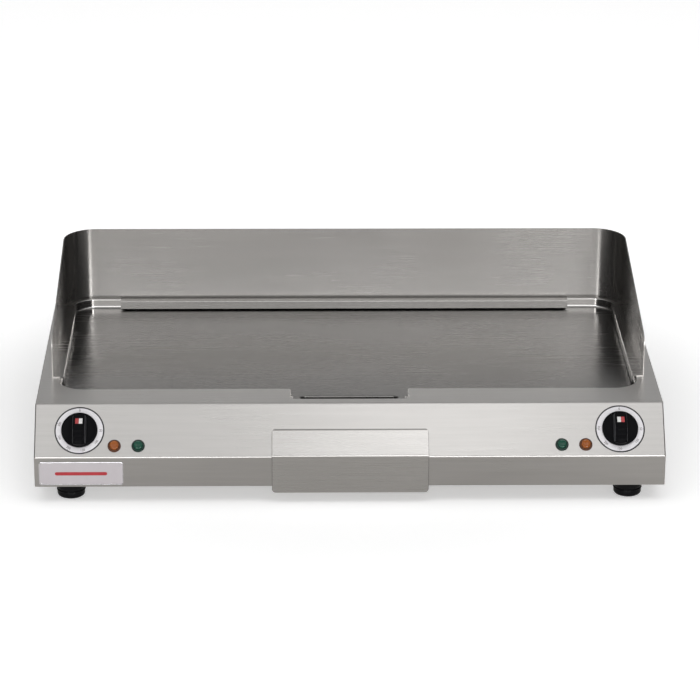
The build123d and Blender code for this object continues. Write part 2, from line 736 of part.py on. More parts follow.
def sensor_tube(side):
    """Sensor bulb under the front of the plate, with its capillary to the thermostat."""
    can_end = slope_point(slope_middle, -sheet - can_depth)
    can_line = slope_point(slope_middle, -sheet - can_depth - 14)
    x0 = side * (sensor_x - sensor_half_length)
    x1 = side * capillary_x
    x2 = side * knob_x
    route = [(x0, sensor_y, element_z), (x1, sensor_y, element_z), (x1, shield_front - 27, element_z),
             (x2, *can_line), (x2, *can_end)]
    bulb = Rot(0, 90, 0) * rod(sensor_radius, -sensor_half_length, sensor_half_length)
    return Pos(side * sensor_x, sensor_y, element_z) * bulb + run_tube(route, capillary_radius, 5.0)


def make_cutout(side):
    """Hand-reset over-temperature cut-out on the base plate."""
    x, y = side * (half_width - cutout_inset), sensor_y + 28
    top = base_top + 22
    body = block(x - 15, x + 15, y - 13, y + 13, base_top, top)
    body += Pos(x, y, 0) * rod(9, top, top + blade_length)
    for sx in (-1, 1):
        body += Pos(x + sx * 12, y, 0) * block(-0.4, 0.4, -3, 3, top, top + blade_length)
    return body


# ---------------------------------------------------------------- electrics and small parts
def make_terminal_block():
    """Six-way screw terminal block near the cable gland."""
    x, y, w, d = terminal_x, terminal_y, terminal_half_width, terminal_half_depth
    body = block(x - w, x + w, y - d, y + d, base_top, base_top + 16)
    for i in range(6):
        for dy in (-d / 2, d / 2):
            body -= Pos(x + (i - 2.5) * w / 3, y + dy, 0) * rod(3, base_top + 8, base_top + 17)
    return body


def rear_axes(x, z):
    """Place on the rear panel with local z pointing out of the back."""
    return Pos(x, body_depth, z) * Rot(-90, 0, 0)


def make_gland():
    """Cable gland body and dome nut outside the rear panel, bored for the supply cable."""
    dome = fillet(hex_bar(24, 8, gland_length).edges().group_by(Axis.Z)[-1], 1.5)
    body = hex_bar(27, 0, 6) + rod(11, 6, 8) + dome + rod(gland_thread_radius, -10, 0)
    return rear_axes(gland_x, gland_z) * (body - rod(gland_bore_radius, -12, gland_length + 2))


def make_gland_nut():
    """Nut that clamps the gland from inside."""
    return rear_axes(gland_x, gland_z) * (hex_bar(26, -6, -sheet) - rod(gland_thread_radius, -8, 0))


def make_bonding_stud():
    """Stud through the rear panel, its M6 end free for the equipotential bonding wire."""
    inner_end = -sheet - bonding_nut_height - 4
    stud = rod(bonding_shoulder_radius, inner_end, bonding_nut_height)
    pin = rod(stud_radius, bonding_nut_height, bonding_nut_height + bonding_pin_length)
    return rear_axes(bonding_x, bonding_z) * (stud + pin)


def make_bonding_nuts():
    """One nut inside and one outside that hold the bonding stud."""
    piece = nut(bonding_shoulder_radius, bonding_nut_height)
    place = rear_axes(bonding_x, bonding_z)
    return group(place * Pos(0, 0, z) * piece for z in (0, -sheet - bonding_nut_height))


def make_loom():
    """Two bundles of wire from the terminal block along the base to the controls."""
    start_y, low = terminal_y - terminal_half_depth, base_top + 5
    bundles = []
    for side, lane in ((-1, tray_rear + 16), (1, tray_rear + 26)):
        end_x = side * (knob_x - 60)
        first_x = terminal_x + side * 12
        route = [(first_x, start_y, low), (first_x, lane, low), (end_x, lane, low), (end_x, 70, low),
                 (end_x, 70, low + 30)]
        bundles.append(run_tube(route, loom_radius, loom_bend))
    return group(bundles)


def make_foot():
    """Round moulded foot with a sunk screw seat, on z from the floor up."""
    height = base_plate_z
    r = foot_radius
    half = Polyline((0, 0), (r - 5.0, 0), (r - 2.4, 1.4), (r - 1.4, 3.8), (r - 1.4, 9.0), (r, 10.0),
                    (r, height - 4), (r - 2, height), (0, height), close=True)
    foot = revolve(Plane.XZ * make_face(half), axis=Axis.Z)
    return foot - rod(foot_seat_radius, -1, foot_seat_depth) - rod(stud_radius + small_gap, 0, height + 1)


def make_foot_screw():
    """Hexagon-head M6 screw up through a foot and the base plate."""
    head_top = foot_seat_depth - thin_sheet
    return hex_bar(10, head_top - 4, head_top) + rod(stud_radius, head_top, base_top + 8)


def make_badge():
    """Blank badge with rounded corners, stuck to the apron."""
    x = -half_width + badge_left_margin + badge_width / 2
    badge_height = apron_height - badge_bottom_margin - badge_top_margin
    z = base_z + badge_bottom_margin + badge_height / 2
    badge = extrude(RectangleRounded(badge_width, badge_height, badge_radius), amount=badge_thickness)
    return Plane(origin=(x, 0, z), x_dir=(1, 0, 0), z_dir=(0, -1, 0)).location * badge


# ---------------------------------------------------------------- write everything
os.makedirs("parts", exist_ok=True)

save("top_housing", make_top_housing())
save("base_plate", make_base_plate())
save("rear_panel", make_rear_panel())
save("rear_screws", panel_screws())
save("base_screws", base_screws())

save("griddle_plate", make_griddle_plate())
save("drain_chute", make_drain_chute())
save("heat_shield", make_heat_shield())
save("insulation_mat", make_insulation_mat())
spacer = ring(spacer_radius, spacer_screw_radius, shield_floor + thin_sheet, plate_bottom)
save("shield_spacers", group(Pos(x, y, 0) * spacer for x, y in spacer_sites()))
shield_screw = pan_screw(spacer_screw_radius, 0.7 * shield_depth)
save("shield_screws", group(
    Pos(x, y, shield_floor) * Rot(180, 0, 0) * shield_screw for x, y in spacer_sites()))
plate_stud = rod(stud_radius, bar_bottom - stud_tip, plate_bottom)
save("plate_studs", group(Pos(x, y, 0) * plate_stud for x, y in stud_sites()))
plate_nut = nut(stud_radius, nut_height)
save("plate_nuts", group(Pos(x, y, bar_bottom - nut_height) * plate_nut for x, y in stud_sites()))

for side, side_name in ((-1, "left"), (1, "right")):
    save(f"heating_element_{side_name}", make_element(side))
    save(f"clamp_bars_{side_name}", make_clamp_bars(side))
    save(f"sensor_{side_name}", sensor_tube(side))
    save(f"safety_cutout_{side_name}", make_cutout(side))
    save(f"drawer_runner_{side_name}", make_runner(side))
    control_x = side * knob_x
    save(f"thermostat_{side_name}", on_panel(control_x, slope_middle, thermostat_body()))
    save(f"spindle_{side_name}", on_panel(control_x, slope_middle, spindle_body()))
    save(f"knob_{side_name}", on_panel(control_x, slope_middle, knob_body()))
    save(f"knob_flag_{side_name}", on_panel(control_x, slope_middle, flag_body()))
    save(f"dial_{side_name}", on_panel(control_x, slope_middle, dial_body()))
    for colour, step in zip(("amber", "green"), lamp_offsets):
        lamp_x = side * (knob_x - step)
        save(f"lamp_lens_{colour}_{side_name}", on_panel(lamp_x, lamp_height_on_slope, lens_body()))
        save(f"lamp_holder_{colour}_{side_name}", on_panel(lamp_x, lamp_height_on_slope, holder_body()))

save("lamp_nuts", group(
    on_panel(side * (knob_x - step), lamp_height_on_slope, lamp_nut_body())
    for side in (-1, 1) for step in lamp_offsets))
save("thermostat_screws", group(
    on_panel(side * knob_x + sx, slope_middle, pan_screw(thermostat_screw_radius, 9))
    for side in (-1, 1) for sx in (-screw_spread, screw_spread)))

save("splash_guard", make_splash_guard())
save("drawer_tray", make_drawer_tray())
save("drawer_front", make_drawer_front())
save("badge", make_badge())

for foot_name, (foot_x, foot_y) in foot_places().items():
    save(f"foot_{foot_name}", Pos(foot_x, foot_y, 0) * make_foot())
foot_spots = list(foot_places().values())
washer = ring(8, stud_radius, foot_seat_depth - thin_sheet, foot_seat_depth)
save("foot_screws", group(Pos(x, y, 0) * make_foot_screw() for x, y in foot_spots))
save("foot_washers", group(Pos(x, y, 0) * washer for x, y in foot_spots))
save("foot_nuts", group(Pos(x, y, base_top) * nut(stud_radius, nut_height) for x, y in foot_spots))

save("terminal_block", make_terminal_block())
save("wiring_loom", make_loom())
save("cable_gland", make_gland())
save("gland_nut", make_gland_nut())
save("bonding_stud", make_bonding_stud())
save("bonding_nuts", make_bonding_nuts())
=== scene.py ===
"""Dresses, lights and frames an electric flat top griddle.

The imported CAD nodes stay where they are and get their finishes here. Pieces that the CAD holds only as
plain solids, such as the knobs, lamps, feet and dial print, are modelled here in full. Metres throughout,
+X to the cook's right, +Y to the back, +Z up.
"""
import json
import logging
import math
from dataclasses import dataclass
from enum import Enum
from typing import Callable, Optional, Sequence, Union

import bmesh
import bpy
from mathutils import Matrix, Vector


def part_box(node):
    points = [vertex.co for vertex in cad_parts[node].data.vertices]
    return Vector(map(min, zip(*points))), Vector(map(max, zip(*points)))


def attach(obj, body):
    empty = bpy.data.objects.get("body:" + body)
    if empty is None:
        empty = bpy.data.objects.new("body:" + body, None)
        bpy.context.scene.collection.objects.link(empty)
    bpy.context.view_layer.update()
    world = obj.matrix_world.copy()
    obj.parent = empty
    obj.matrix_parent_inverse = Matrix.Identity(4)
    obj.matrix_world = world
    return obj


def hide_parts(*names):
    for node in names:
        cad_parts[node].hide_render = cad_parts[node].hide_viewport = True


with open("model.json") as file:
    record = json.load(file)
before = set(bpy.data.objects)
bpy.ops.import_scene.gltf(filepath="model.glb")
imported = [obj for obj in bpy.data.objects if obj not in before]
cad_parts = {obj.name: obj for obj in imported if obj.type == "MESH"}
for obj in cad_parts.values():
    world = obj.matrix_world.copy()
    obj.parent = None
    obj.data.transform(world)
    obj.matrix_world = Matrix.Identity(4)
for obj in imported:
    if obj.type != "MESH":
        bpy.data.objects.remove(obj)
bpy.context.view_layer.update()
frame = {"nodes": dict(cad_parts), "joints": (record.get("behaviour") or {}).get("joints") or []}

MM = 0.001
LOG = logging.getLogger("griddle")
Colour = tuple[float, float, float]
Profile = Sequence[tuple[float, float]]
Points = list[tuple[float, float]]
SIDES = (("left", -1), ("right", 1))
CORNERS = ("front_left", "front_right", "rear_left", "rear_right")
WELD_DISTANCE = 1e-7


# ---------------------------------------- node trees
class Flow:
    """A number that runs through a node tree and takes part in Python arithmetic."""

    def __init__(self, tree: "ShaderTree", socket: bpy.types.NodeSocket) -> None:
        """Remember the tree and the output socket that carries the number."""
        self.tree = tree
        self.socket = socket

    def __add__(self, other: "Number") -> "Flow":
        """Sum."""
        return self.tree.maths("ADD", self, other)

    def __sub__(self, other: "Number") -> "Flow":
        """Difference."""
        return self.tree.maths("SUBTRACT", self, other)

    def __rsub__(self, other: "Number") -> "Flow":
        """Difference with the plain number first."""
        return self.tree.maths("SUBTRACT", other, self)

    def __mul__(self, other: "Number") -> "Flow":
        """Product."""
        return self.tree.maths("MULTIPLY", self, other)

    def __pow__(self, other: "Number") -> "Flow":
        """Power."""
        return self.tree.maths("POWER", self, other)

    __radd__ = __add__


Number = Union[float, Flow]


class ShaderTree:
    """A material's nodes, with one method that makes any node and a few that are used often."""

    def __init__(self, name: str) -> None:
        """Start a named material that holds only its surface shader and output."""
        self.material = bpy.data.materials.new(name)
        self.material.use_nodes = True
        self.nodes = self.material.node_tree.nodes
        self.links = self.material.node_tree.links
        self.surface = next(n for n in self.nodes if n.type == "BSDF_PRINCIPLED")

    def node(self, kind: str, settings: Optional[dict] = None, inputs: Optional[dict] = None,
             output: Union[int, str] = 0) -> Flow:
        """Make one node.

        Args:
            kind: the node's type.
            settings: its properties, which are set before its sockets.
            inputs: values or flows, by socket name or number.
            output: the output socket to hand back.

        Returns:
            The chosen output as a flow.
        """
        made = self.nodes.new(kind)
        for key, value in (settings or {}).items():
            setattr(made, key, value)
        for key, value in (inputs or {}).items():
            self.feed(made.inputs[key], value)
        return Flow(self, made.outputs[output])

    def feed(self, socket: bpy.types.NodeSocket, value: object) -> None:
        """Link a flow to an input socket, or set the socket to a plain number, vector or colour."""
        if isinstance(value, Flow):
            self.links.new(value.socket, socket)
        else:
            socket.default_value = value

    def maths(self, operation: str, *terms: Number) -> Flow:
        """A Math node on one or more numbers."""
        return self.node("ShaderNodeMath", {"operation": operation}, dict(enumerate(terms)))

    def ramp(self, value: Number, low: float, high: float, start: float = 0.0, end: float = 1.0) -> Flow:
        """Ease from start to end while value goes from low to high.

        Args:
            value: the number that drives the change.
            low: where the change begins.
            high: where it ends.
            start: result below low.
            end: result above high.

        Returns:
            The eased number.
        """
        sockets = {"Value": value, "From Min": low, "From Max": high, "To Min": start, "To Max": end}
        return self.node("ShaderNodeMapRange", {"interpolation_type": "SMOOTHSTEP"}, sockets)

    def blend(self, factor: Number, first: object, second: object) -> Flow:
        """Mix two colours; each is a plain colour or a flow."""
        pair = [c if isinstance(c, Flow) else (*c, 1.0) for c in (first, second)]
        return self.node("ShaderNodeMix", {"data_type": "RGBA"}, {0: factor, 6: pair[0], 7: pair[1]}, 2)

    def place(self) -> Flow:
        """The point's place in the object's own axes, in metres."""
        return self.node("ShaderNodeTexCoord", output="Object")

    def axis(self, vector: Flow, index: int) -> Flow:
        """One component of a vector."""
        return self.node("ShaderNodeSeparateXYZ", inputs={0: vector}, output=index)

    def noise(self, frequency: Sequence[float], detail: float = 2.0, seed: float = 0.0) -> Flow:
        """Noise with its own frequency on each axis.

        Args:
            frequency: cycles per metre along X, Y and Z.
            detail: octaves.
            seed: shift that makes one layer differ from another.

        Returns:
            A number from 0 to 1 that averages one half.
        """
        spread = self.node("ShaderNodeMapping", None,
                           {"Vector": self.place(), "Scale": tuple(frequency), "Location": (seed,) * 3})
        return self.node("ShaderNodeTexNoise", None, {"Vector": spread, "Scale": 1.0, "Detail": detail})

    def bump(self, height: Number, distance: float, strength: float = 1.0) -> None:
        """Raise the surface by a height map, through the Normal socket."""
        sockets = {"Height": height, "Distance": distance, "Strength": strength}
        self.set("Normal", self.node("ShaderNodeBump", None, sockets, "Normal"))

    def set(self, socket: str, value: object) -> None:
        """Fill a socket of the surface shader; a plain colour gets its alpha here."""
        if isinstance(value, tuple):
            value = (*value, 1.0)
        self.feed(self.surface.inputs[socket], value)


# ---------------------------------------- finishes
class Grain(Enum):
    """The way the abrasive belt ran, as the axis along which its scratches are long."""
    WIDTH = 0
    DEPTH = 1


@dataclass(frozen=True)
class Finish:
    """What every finish has: a name for its material and the tone it starts from."""
    name: str
    tone: Colour

    def material(self) -> bpy.types.Material:
        """The finish's material, made once and then shared."""
        return bpy.data.materials.get("finish_" + self.name) or self.make(ShaderTree("finish_" + self.name))

    def make(self, tree: ShaderTree) -> bpy.types.Material:
        """Fill the tree. Each kind of finish does this its own way."""
        raise NotImplementedError


def scaled(tone: Colour, factor: float) -> Colour:
    """A lighter or darker version of a colour."""
    return tuple(min(1.0, part * factor) for part in tone)


@dataclass(frozen=True)
class Brushed(Finish):
    """Belt-brushed stainless sheet: long fine scratches, soft streaks and faint handling smudges."""
    grain: Grain = Grain.WIDTH
    roughness: float = 0.30
    streaks: float = 0.035
    groove: float = 0.00003
    stretch: float = 0.0
    smudge: float = 0.04
    scratch_length: float = 0.12
    scratch_width: float = 0.0007
    streak_width: float = 0.005
    polish: Optional[Callable[[ShaderTree], Flow]] = None
    # Optional mask where shade is painted into the colour, and how far that painted shade darkens it.
    painted_shade: Optional[Callable[[ShaderTree], Flow]] = None
    painted_shade_depth: float = 0.7
    polished_roughness: float = 0.10

    def scratches(self, tree: ShaderTree, width: float, seed: float) -> Flow:
        """Noise drawn out along the grain, and along the depth where a sheet faces sideways.

        Args:
            tree: the tree to build in.
            width: how wide one scratch is.
            seed: shift of the pattern.

        Returns:
            The pattern as a number from 0 to 1.
        """
        def stretched(axis: int) -> Flow:
            """Noise that is long on one axis."""
            frequency = [1 / width] * 3
            frequency[axis] = 1 / self.scratch_length
            return tree.noise(frequency, 3.0, seed)

        if self.grain is not Grain.WIDTH:
            return stretched(self.grain.value)
        facing = tree.maths("ABSOLUTE", tree.axis(tree.node("ShaderNodeTexCoord", output="Normal"), 0))
        sideways = tree.ramp(facing, 0.70, 0.80)
        return stretched(0) * (1 - sideways) + stretched(1) * sideways

    def make(self, tree: ShaderTree) -> bpy.types.Material:
        """Scratches for the bump, streaks and any painted shade for the colour, and scratches and streaks
        for the roughness.
        """
        fine = self.scratches(tree, self.scratch_width, 0.0)
        broad = self.scratches(tree, self.streak_width, 3.7)
        cloud = tree.noise((7.0, 7.0, 7.0), 3.0, 11.0)
        shade = tree.ramp(broad * 0.55 + fine * 0.25 + cloud * 0.20, 0.30, 0.70)
        tone = tree.blend(shade, scaled(self.tone, 1 - self.streaks), scaled(self.tone, 1 + self.streaks))
        # Painted shade: where the mask says, the tone is darkened towards a near-black colour.
        if self.painted_shade:
            tone = tree.blend(self.painted_shade(tree) * self.painted_shade_depth, tone, SHADE_TONE)
        tree.set("Base Color", tone)
        rough = self.roughness + (fine - 0.5) * 0.10 + (cloud - 0.5) * self.smudge * 2
        depth = fine
        if self.polish:
            bright = self.polish(tree)
            rough = rough * (1 - bright) + bright * self.polished_roughness
            depth = fine * (1 - bright)
        tree.set("Roughness", rough)
        tree.set("Metallic", 1.0)
        tree.set("Anisotropic", self.stretch)
        tree.set("Anisotropic Rotation", 0.25)
        tree.bump(depth, self.groove)
        return tree.material


@dataclass(frozen=True)
class Plain(Finish):
    """Turned, drawn or plated metal: small blotches and slight tarnish, without a brushed grain."""
    roughness: float = 0.3
    tarnish: float = 0.2
    grain_size: float = 0.0015

    def make(self, tree: ShaderTree) -> bpy.types.Material:
        """Tarnish in the colour and roughness, with a fine orange-peel bump."""
        blotch = tree.noise((60.0, 60.0, 60.0), 4.0, 2.0)
        speck = tree.noise((1 / self.grain_size,) * 3, 2.0, 5.0)
        tree.set("Base Color", tree.blend(tree.ramp(blotch, 0.35, 0.7), self.tone,
                                          scaled(self.tone, 1 - self.tarnish)))
        tree.set("Roughness", self.roughness + (blotch - 0.5) * 0.25 + (speck - 0.5) * 0.1)
        tree.set("Metallic", 1.0)
        tree.bump(speck, 0.00002)
        return tree.material


@dataclass(frozen=True)
class Moulded(Finish):
    """Moulded plastic or rubber with a fine texture and rubbed, slightly shinier patches."""
    roughness: float = 0.4
    texture: float = 0.00004
    texture_size: float = 0.0006
    coat: float = 0.0
    glow: float = 0.0
    variation: float = 0.12
    shine: float = 0.5

    def make(self, tree: ShaderTree) -> bpy.types.Material:
        """Slight colour drift, rubbed roughness and a spark-eroded texture."""
        drift = tree.noise((90.0, 90.0, 90.0), 3.0, 1.0)
        pores = tree.noise((1 / self.texture_size,) * 3, 2.0, 8.0)
        tree.set("Base Color", tree.blend(drift, scaled(self.tone, 1 - self.variation),
                                          scaled(self.tone, 1 + self.variation)))
        tree.set("Roughness", self.roughness + (drift - 0.5) * 0.20 + (pores - 0.5) * 0.08)
        tree.set("Specular IOR Level", self.shine)
        tree.set("Coat Weight", self.coat)
        tree.set("Coat Roughness", 0.08)
        if self.glow:
            tree.set("Emission Color", self.tone)
            tree.set("Emission Strength", self.glow)
        tree.bump(pores, self.texture)
        return tree.material


@dataclass(frozen=True)
class Fibre(Finish):
    """Matted ceramic fibre: cloudy off-white with a tangled surface."""

    def make(self, tree: ShaderTree) -> bpy.types.Material:
        """Crossed stretched noise for the fibres, cloud for the tone."""
        tangle = tree.noise((900.0, 120.0, 900.0), 4.0) + tree.noise((120.0, 900.0, 900.0), 4.0, 4.0)
        cloud = tree.noise((25.0, 25.0, 25.0), 3.0, 9.0)
        tree.set("Base Color", tree.blend(cloud * 0.6 + tangle * 0.2, scaled(self.tone, 0.82), self.tone))
        tree.set("Roughness", 0.95 - cloud * 0.1)
        tree.bump(tangle, 0.0006)
        return tree.material


@dataclass(frozen=True)
class SearedSteel(Finish):
    """Ground and polished cooking steel with a light haze from heat and scraping."""
    roughness: float = 0.27
    haze: Colour = (0.20, 0.193, 0.186)

    def make(self, tree: ShaderTree) -> bpy.types.Material:
        """Long grinding lines, cloudy heat haze and short scraper marks."""
        lines = tree.noise((9.0, 1100.0, 40.0), 3.0)
        scrape = tree.noise((1300.0, 30.0, 40.0), 2.0, 6.0)
        cloud = tree.noise((5.0, 8.0, 5.0), 4.0, 2.5)
        tint = tree.blend(tree.ramp(cloud, 0.35, 0.75), self.tone, self.haze)
        ground = tree.ramp(lines, 0.35, 0.65) * 0.12
        tree.set("Base Color", tree.blend(ground, tint, scaled(self.tone, 0.7)))
        tree.set("Roughness", self.roughness + (lines - 0.5) * 0.12 + (cloud - 0.5) * 0.18)
        tree.set("Metallic", 1.0)
        tree.bump(lines * 0.7 + scrape * 0.3, 0.000012)
        return tree.material


def recess_wall(tree: ShaderTree) -> Flow:
    """Mask of the collar round the sunk cooking area, ground bright: 1 on its wall, 0 elsewhere."""
    plate_low, plate_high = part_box("griddle_plate")
    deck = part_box("top_housing")[1].z
    place = tree.place()
    below = tree.ramp(tree.axis(place, 2), deck - 1.2 * MM, deck - 0.2 * MM, 1.0, 0.0)
    above = tree.ramp(tree.axis(place, 2), plate_high.z - 2.0 * MM, plate_high.z - 1.0 * MM)
    across = tree.maths("ABSOLUTE", tree.axis(place, 0))
    inside = tree.ramp(across, plate_high.x, plate_high.x + MM, 1.0, 0.0)
    behind = tree.ramp(tree.axis(place, 1), plate_low.y, plate_low.y + 2 * MM)
    return below * above * inside * behind


def rail_crease_shade(tree: ShaderTree) -> Flow:
    """Mask of painted shade on the rear hook rail: 1 in its crease, less on the rest of it, 0 elsewhere."""
    deck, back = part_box("top_housing")[1].z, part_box("splash_guard")[1].y
    place = tree.place()
    low = tree.ramp(tree.axis(place, 2), deck + 2.0 * MM, deck + 6.0 * MM, 1.0, 0.0)
    rail = tree.ramp(tree.axis(place, 1), back - 24 * MM, back - 22 * MM)
    crease = tree.ramp(tree.axis(place, 1), back - 12 * MM, back - 5 * MM)
    return low * (crease * 0.6 + rail * 0.4)


def drawer_edge_shade(tree: ShaderTree) -> Flow:
    """Mask of a painted shadow line along the sides and top of the drawer front: 1 there, 0 elsewhere."""
    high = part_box("drawer_front")[1]
    place = tree.place()
    across = tree.maths("ABSOLUTE", tree.axis(place, 0))
    side = tree.ramp(across, high.x - 0.9 * MM, high.x - 0.2 * MM)
    top = tree.ramp(tree.axis(place, 2), high.z - 2.2 * MM, high.z - 1.2 * MM)
    return tree.maths("MAXIMUM", side, top)


STEEL: Colour = (0.47, 0.458, 0.445)
# Near-black colour that the painted shade blends towards.
SHADE_TONE: Colour = (0.05, 0.047, 0.043)
HOUSING = Brushed("housing_steel", STEEL, polish=recess_wall)
# The guard has shade painted into the crease and rail at the bottom of its back wall.
GUARD = Brushed("guard_steel", scaled(STEEL, 0.94), roughness=0.25, groove=0.000015, stretch=0.8,
                painted_shade=rail_crease_shade)
# The drawer front has a painted shadow line along its sides and top.
DRAWER = Brushed("drawer_steel", scaled(STEEL, 1.05), roughness=0.27, painted_shade=drawer_edge_shade)
FOLDED = Brushed("folded_sheet", scaled(STEEL, 0.9), grain=Grain.DEPTH, roughness=0.36, smudge=0.08)
COOKING = SearedSteel("cooking_surface", (0.185, 0.180, 0.175))
BRIGHT = Plain("bright_seam", (0.55, 0.54, 0.53), roughness=0.16, tarnish=0.1)
ZINC = Plain("fastener_steel", (0.56, 0.56, 0.57), roughness=0.28)
SHEATH = Plain("element_sheath", (0.20, 0.19, 0.18), roughness=0.42, tarnish=0.35)
COPPER = Plain("copper_bulb", (0.72, 0.38, 0.22), roughness=0.32, tarnish=0.4)
MAT = Fibre("fibre_mat", (0.80, 0.78, 0.73))
CERAMIC = Moulded("ceramic_body", (0.70, 0.67, 0.60), roughness=0.35, coat=0.2)
BLACK = Moulded("knob_black", (0.006, 0.006, 0.007), roughness=0.30, texture=0.00002, shine=0.03)
# A lighter copy of the knob's black plastic for the grip's flanks: a painted highlight.
KNOB_FLANK_HIGHLIGHT = Moulded("knob_flank_highlight", (0.060, 0.060, 0.065), roughness=0.40, texture=0.00002, shine=0.2)
FLAG_RED = Moulded("flag_red", (0.48, 0.035, 0.04), roughness=0.35, coat=0.3)
FLAG_WHITE = Moulded("flag_white", (0.84, 0.83, 0.82), roughness=0.35, coat=0.3)
DIAL = Moulded("dial_white", (0.83, 0.81, 0.835), roughness=0.32, texture=0.00001, coat=0.35,
               variation=0.03)
DIAL_INK = Moulded("dial_ink", (0.012, 0.011, 0.014), roughness=0.45, texture=0.00001)
NUMBER_INK = Moulded("number_ink", (0.07, 0.045, 0.055), roughness=0.5, texture=0.00001)
RED_INK = Moulded("red_ink", (0.45, 0.02, 0.03), roughness=0.4, texture=0.00001, coat=0.3)
AMBER_RIM = Moulded("amber_rim", (0.10, 0.032, 0.010), roughness=0.18, coat=0.25, shine=0.3)
AMBER_CAP = Moulded("amber_cap", (0.30, 0.080, 0.010), roughness=0.22, coat=0.15, glow=0.06, shine=0.25)
GREEN_RIM = Moulded("green_rim", (0.005, 0.028, 0.020), roughness=0.18, coat=0.25, shine=0.3)
GREEN_CAP = Moulded("green_cap", (0.004, 0.064, 0.038), roughness=0.22, coat=0.15, glow=0.05, shine=0.25)
LAMP_BODY = Moulded("lamp_plastic", (0.55, 0.54, 0.50), roughness=0.5)
SILVER = Moulded("badge_silver", (0.54, 0.505, 0.525), roughness=0.34, texture=0.00001, coat=0.3,
                 variation=0.04)
SILVER_EDGE = Plain("badge_edge", (0.80, 0.80, 0.83), roughness=0.25, tarnish=0.05)
RUBBER = Moulded("foot_black", (0.006, 0.006, 0.007), roughness=0.20, texture=0.00002, shine=0.12)
TERMINAL = Moulded("terminal_plastic", (0.62, 0.60, 0.54), roughness=0.45)
GLAND = Moulded("gland_plastic", (0.028, 0.028, 0.030), roughness=0.42)
SLEEVE = Moulded("wire_sleeve", (0.045, 0.040, 0.040), roughness=0.55, texture=0.0001)


# ---------------------------------------- mesh making
@dataclass
class Piece:
    """A mesh that is being made, and what it belongs to when it is done."""
    name: str
    body: str
    slot: str
    finish: Finish
    replaces: tuple[str, ...] = ()
    place: Matrix = Matrix.Identity(4)
    sharp: float = 32.0

    def __post_init__(self) -> None:
        """Start an empty mesh."""
        self.mesh = bmesh.new()

    def loft(self, rings: Sequence[Sequence[Vector]], closed: bool = False) -> None:
        """Skin a row of matching closed rings.

        Args:
            rings: the rings, each with the same number of points.
            closed: join the last ring to the first instead of capping both ends.
        """
        made = [[self.mesh.verts.new(point) for point in ring] for ring in rings]
        pairs = list(zip(made, made[1:])) + ([(made[-1], made[0])] if closed else [])
        for low, high in pairs:
            for i, corner in enumerate(low):
                after = (i + 1) % len(low)
                self.mesh.faces.new((corner, low[after], high[after], high[i]))
        if not closed:
            self.mesh.faces.new(list(reversed(made[0])))
            self.mesh.faces.new(made[-1])

    def lathe(self, profile: Profile, centre: tuple[float, float] = (0.0, 0.0), segments: int = 96,
              hollow: bool = False, flute: Optional[Callable[[float, float], float]] = None) -> None:
        """Turn a profile about an upright axis.

        Args:
            profile: (radius, height) points from the bottom up, or round the section when hollow.
            centre: where the axis stands.
            segments: steps round the axis.
            hollow: the profile is a closed section that doesn't reach the axis.
            flute: change of radius as a function of the angle and the height.
        """
        rings = []
        for radius, height in profile:
            ring = []
            for step in range(segments):
                angle = 2 * math.pi * step / segments
                reach = radius + (flute(angle, height) if flute else 0.0)
                x, y = centre[0] + reach * math.cos(angle), centre[1] + reach * math.sin(angle)
                ring.append(Vector((x, y, height)))
            rings.append(ring)
        self.loft(rings, closed=hollow)

    def slab(self, outline: Profile, low: float, high: float, soften: float) -> None:
        """Extrude a flat outline and ease its upper edge.

        Args:
            outline: corner points, anticlockwise.
            low: height of its underside.
            high: height of its top.
            soften: how much the top edge is rounded over.
        """
        def level(height: float, inset: float) -> list[Vector]:
            """The outline at one height, drawn in by an inset."""
            return [Vector((*point, height)) for point in inset_outline(outline, inset)]
        turns = [math.pi / 2 * step / 3 for step in range(4)]
        rounded = [level(high - soften + soften * math.sin(t), soften * (1 - math.cos(t))) for t in turns]
        self.loft([level(low, 0.0), *rounded])

    def add_mesh(self, mesh: bpy.types.Mesh, place: Matrix) -> None:
        """Take in a ready mesh, such as a figure, moved into place."""
        mesh.transform(place)
        self.mesh.from_mesh(mesh)

    def finish_off(self) -> bpy.types.Object:
        """Clean the mesh, shade it, dress it and hand it to its body; returns the object."""
        self.mesh.transform(self.place)
        bmesh.ops.remove_doubles(self.mesh, verts=self.mesh.verts, dist=WELD_DISTANCE)
        bmesh.ops.recalc_face_normals(self.mesh, faces=self.mesh.faces)
        mesh = bpy.data.meshes.new(self.name)
        self.mesh.to_mesh(mesh)
        self.mesh.free()
        mesh.shade_smooth()
        mesh.set_sharp_from_angle(angle=math.radians(self.sharp))
        mesh.materials.append(self.finish.material())
        made = bpy.data.objects.new(self.name, mesh)
        bpy.context.scene.collection.objects.link(made)
        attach(made, self.body)
        if self.replaces:
            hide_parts(*self.replaces)
        LOG.info("piece %s on %s, %d faces", self.name, self.body, len(mesh.polygons))
        return made


def inset_outline(outline: Profile, inset: float) -> Points:
    """Draw a closed anticlockwise outline inward.

    Args:
        outline: its corner points.
        inset: how far to move each edge.

    Returns:
        The moved points, one for each corner.
    """
    moved = []
    for i, here in enumerate(outline):
        before, after = Vector(outline[i - 1]), Vector(outline[(i + 1) % len(outline)])
        first = (Vector(here) - before).normalized()
        second = (after - Vector(here)).normalized()
        inward = Vector((-first.y - second.y, first.x + second.x)).normalized()
        reach = inset / max(0.3, inward.dot(Vector((-first.y, first.x))))
        moved.append(tuple(Vector(here) + inward * reach))
    return moved


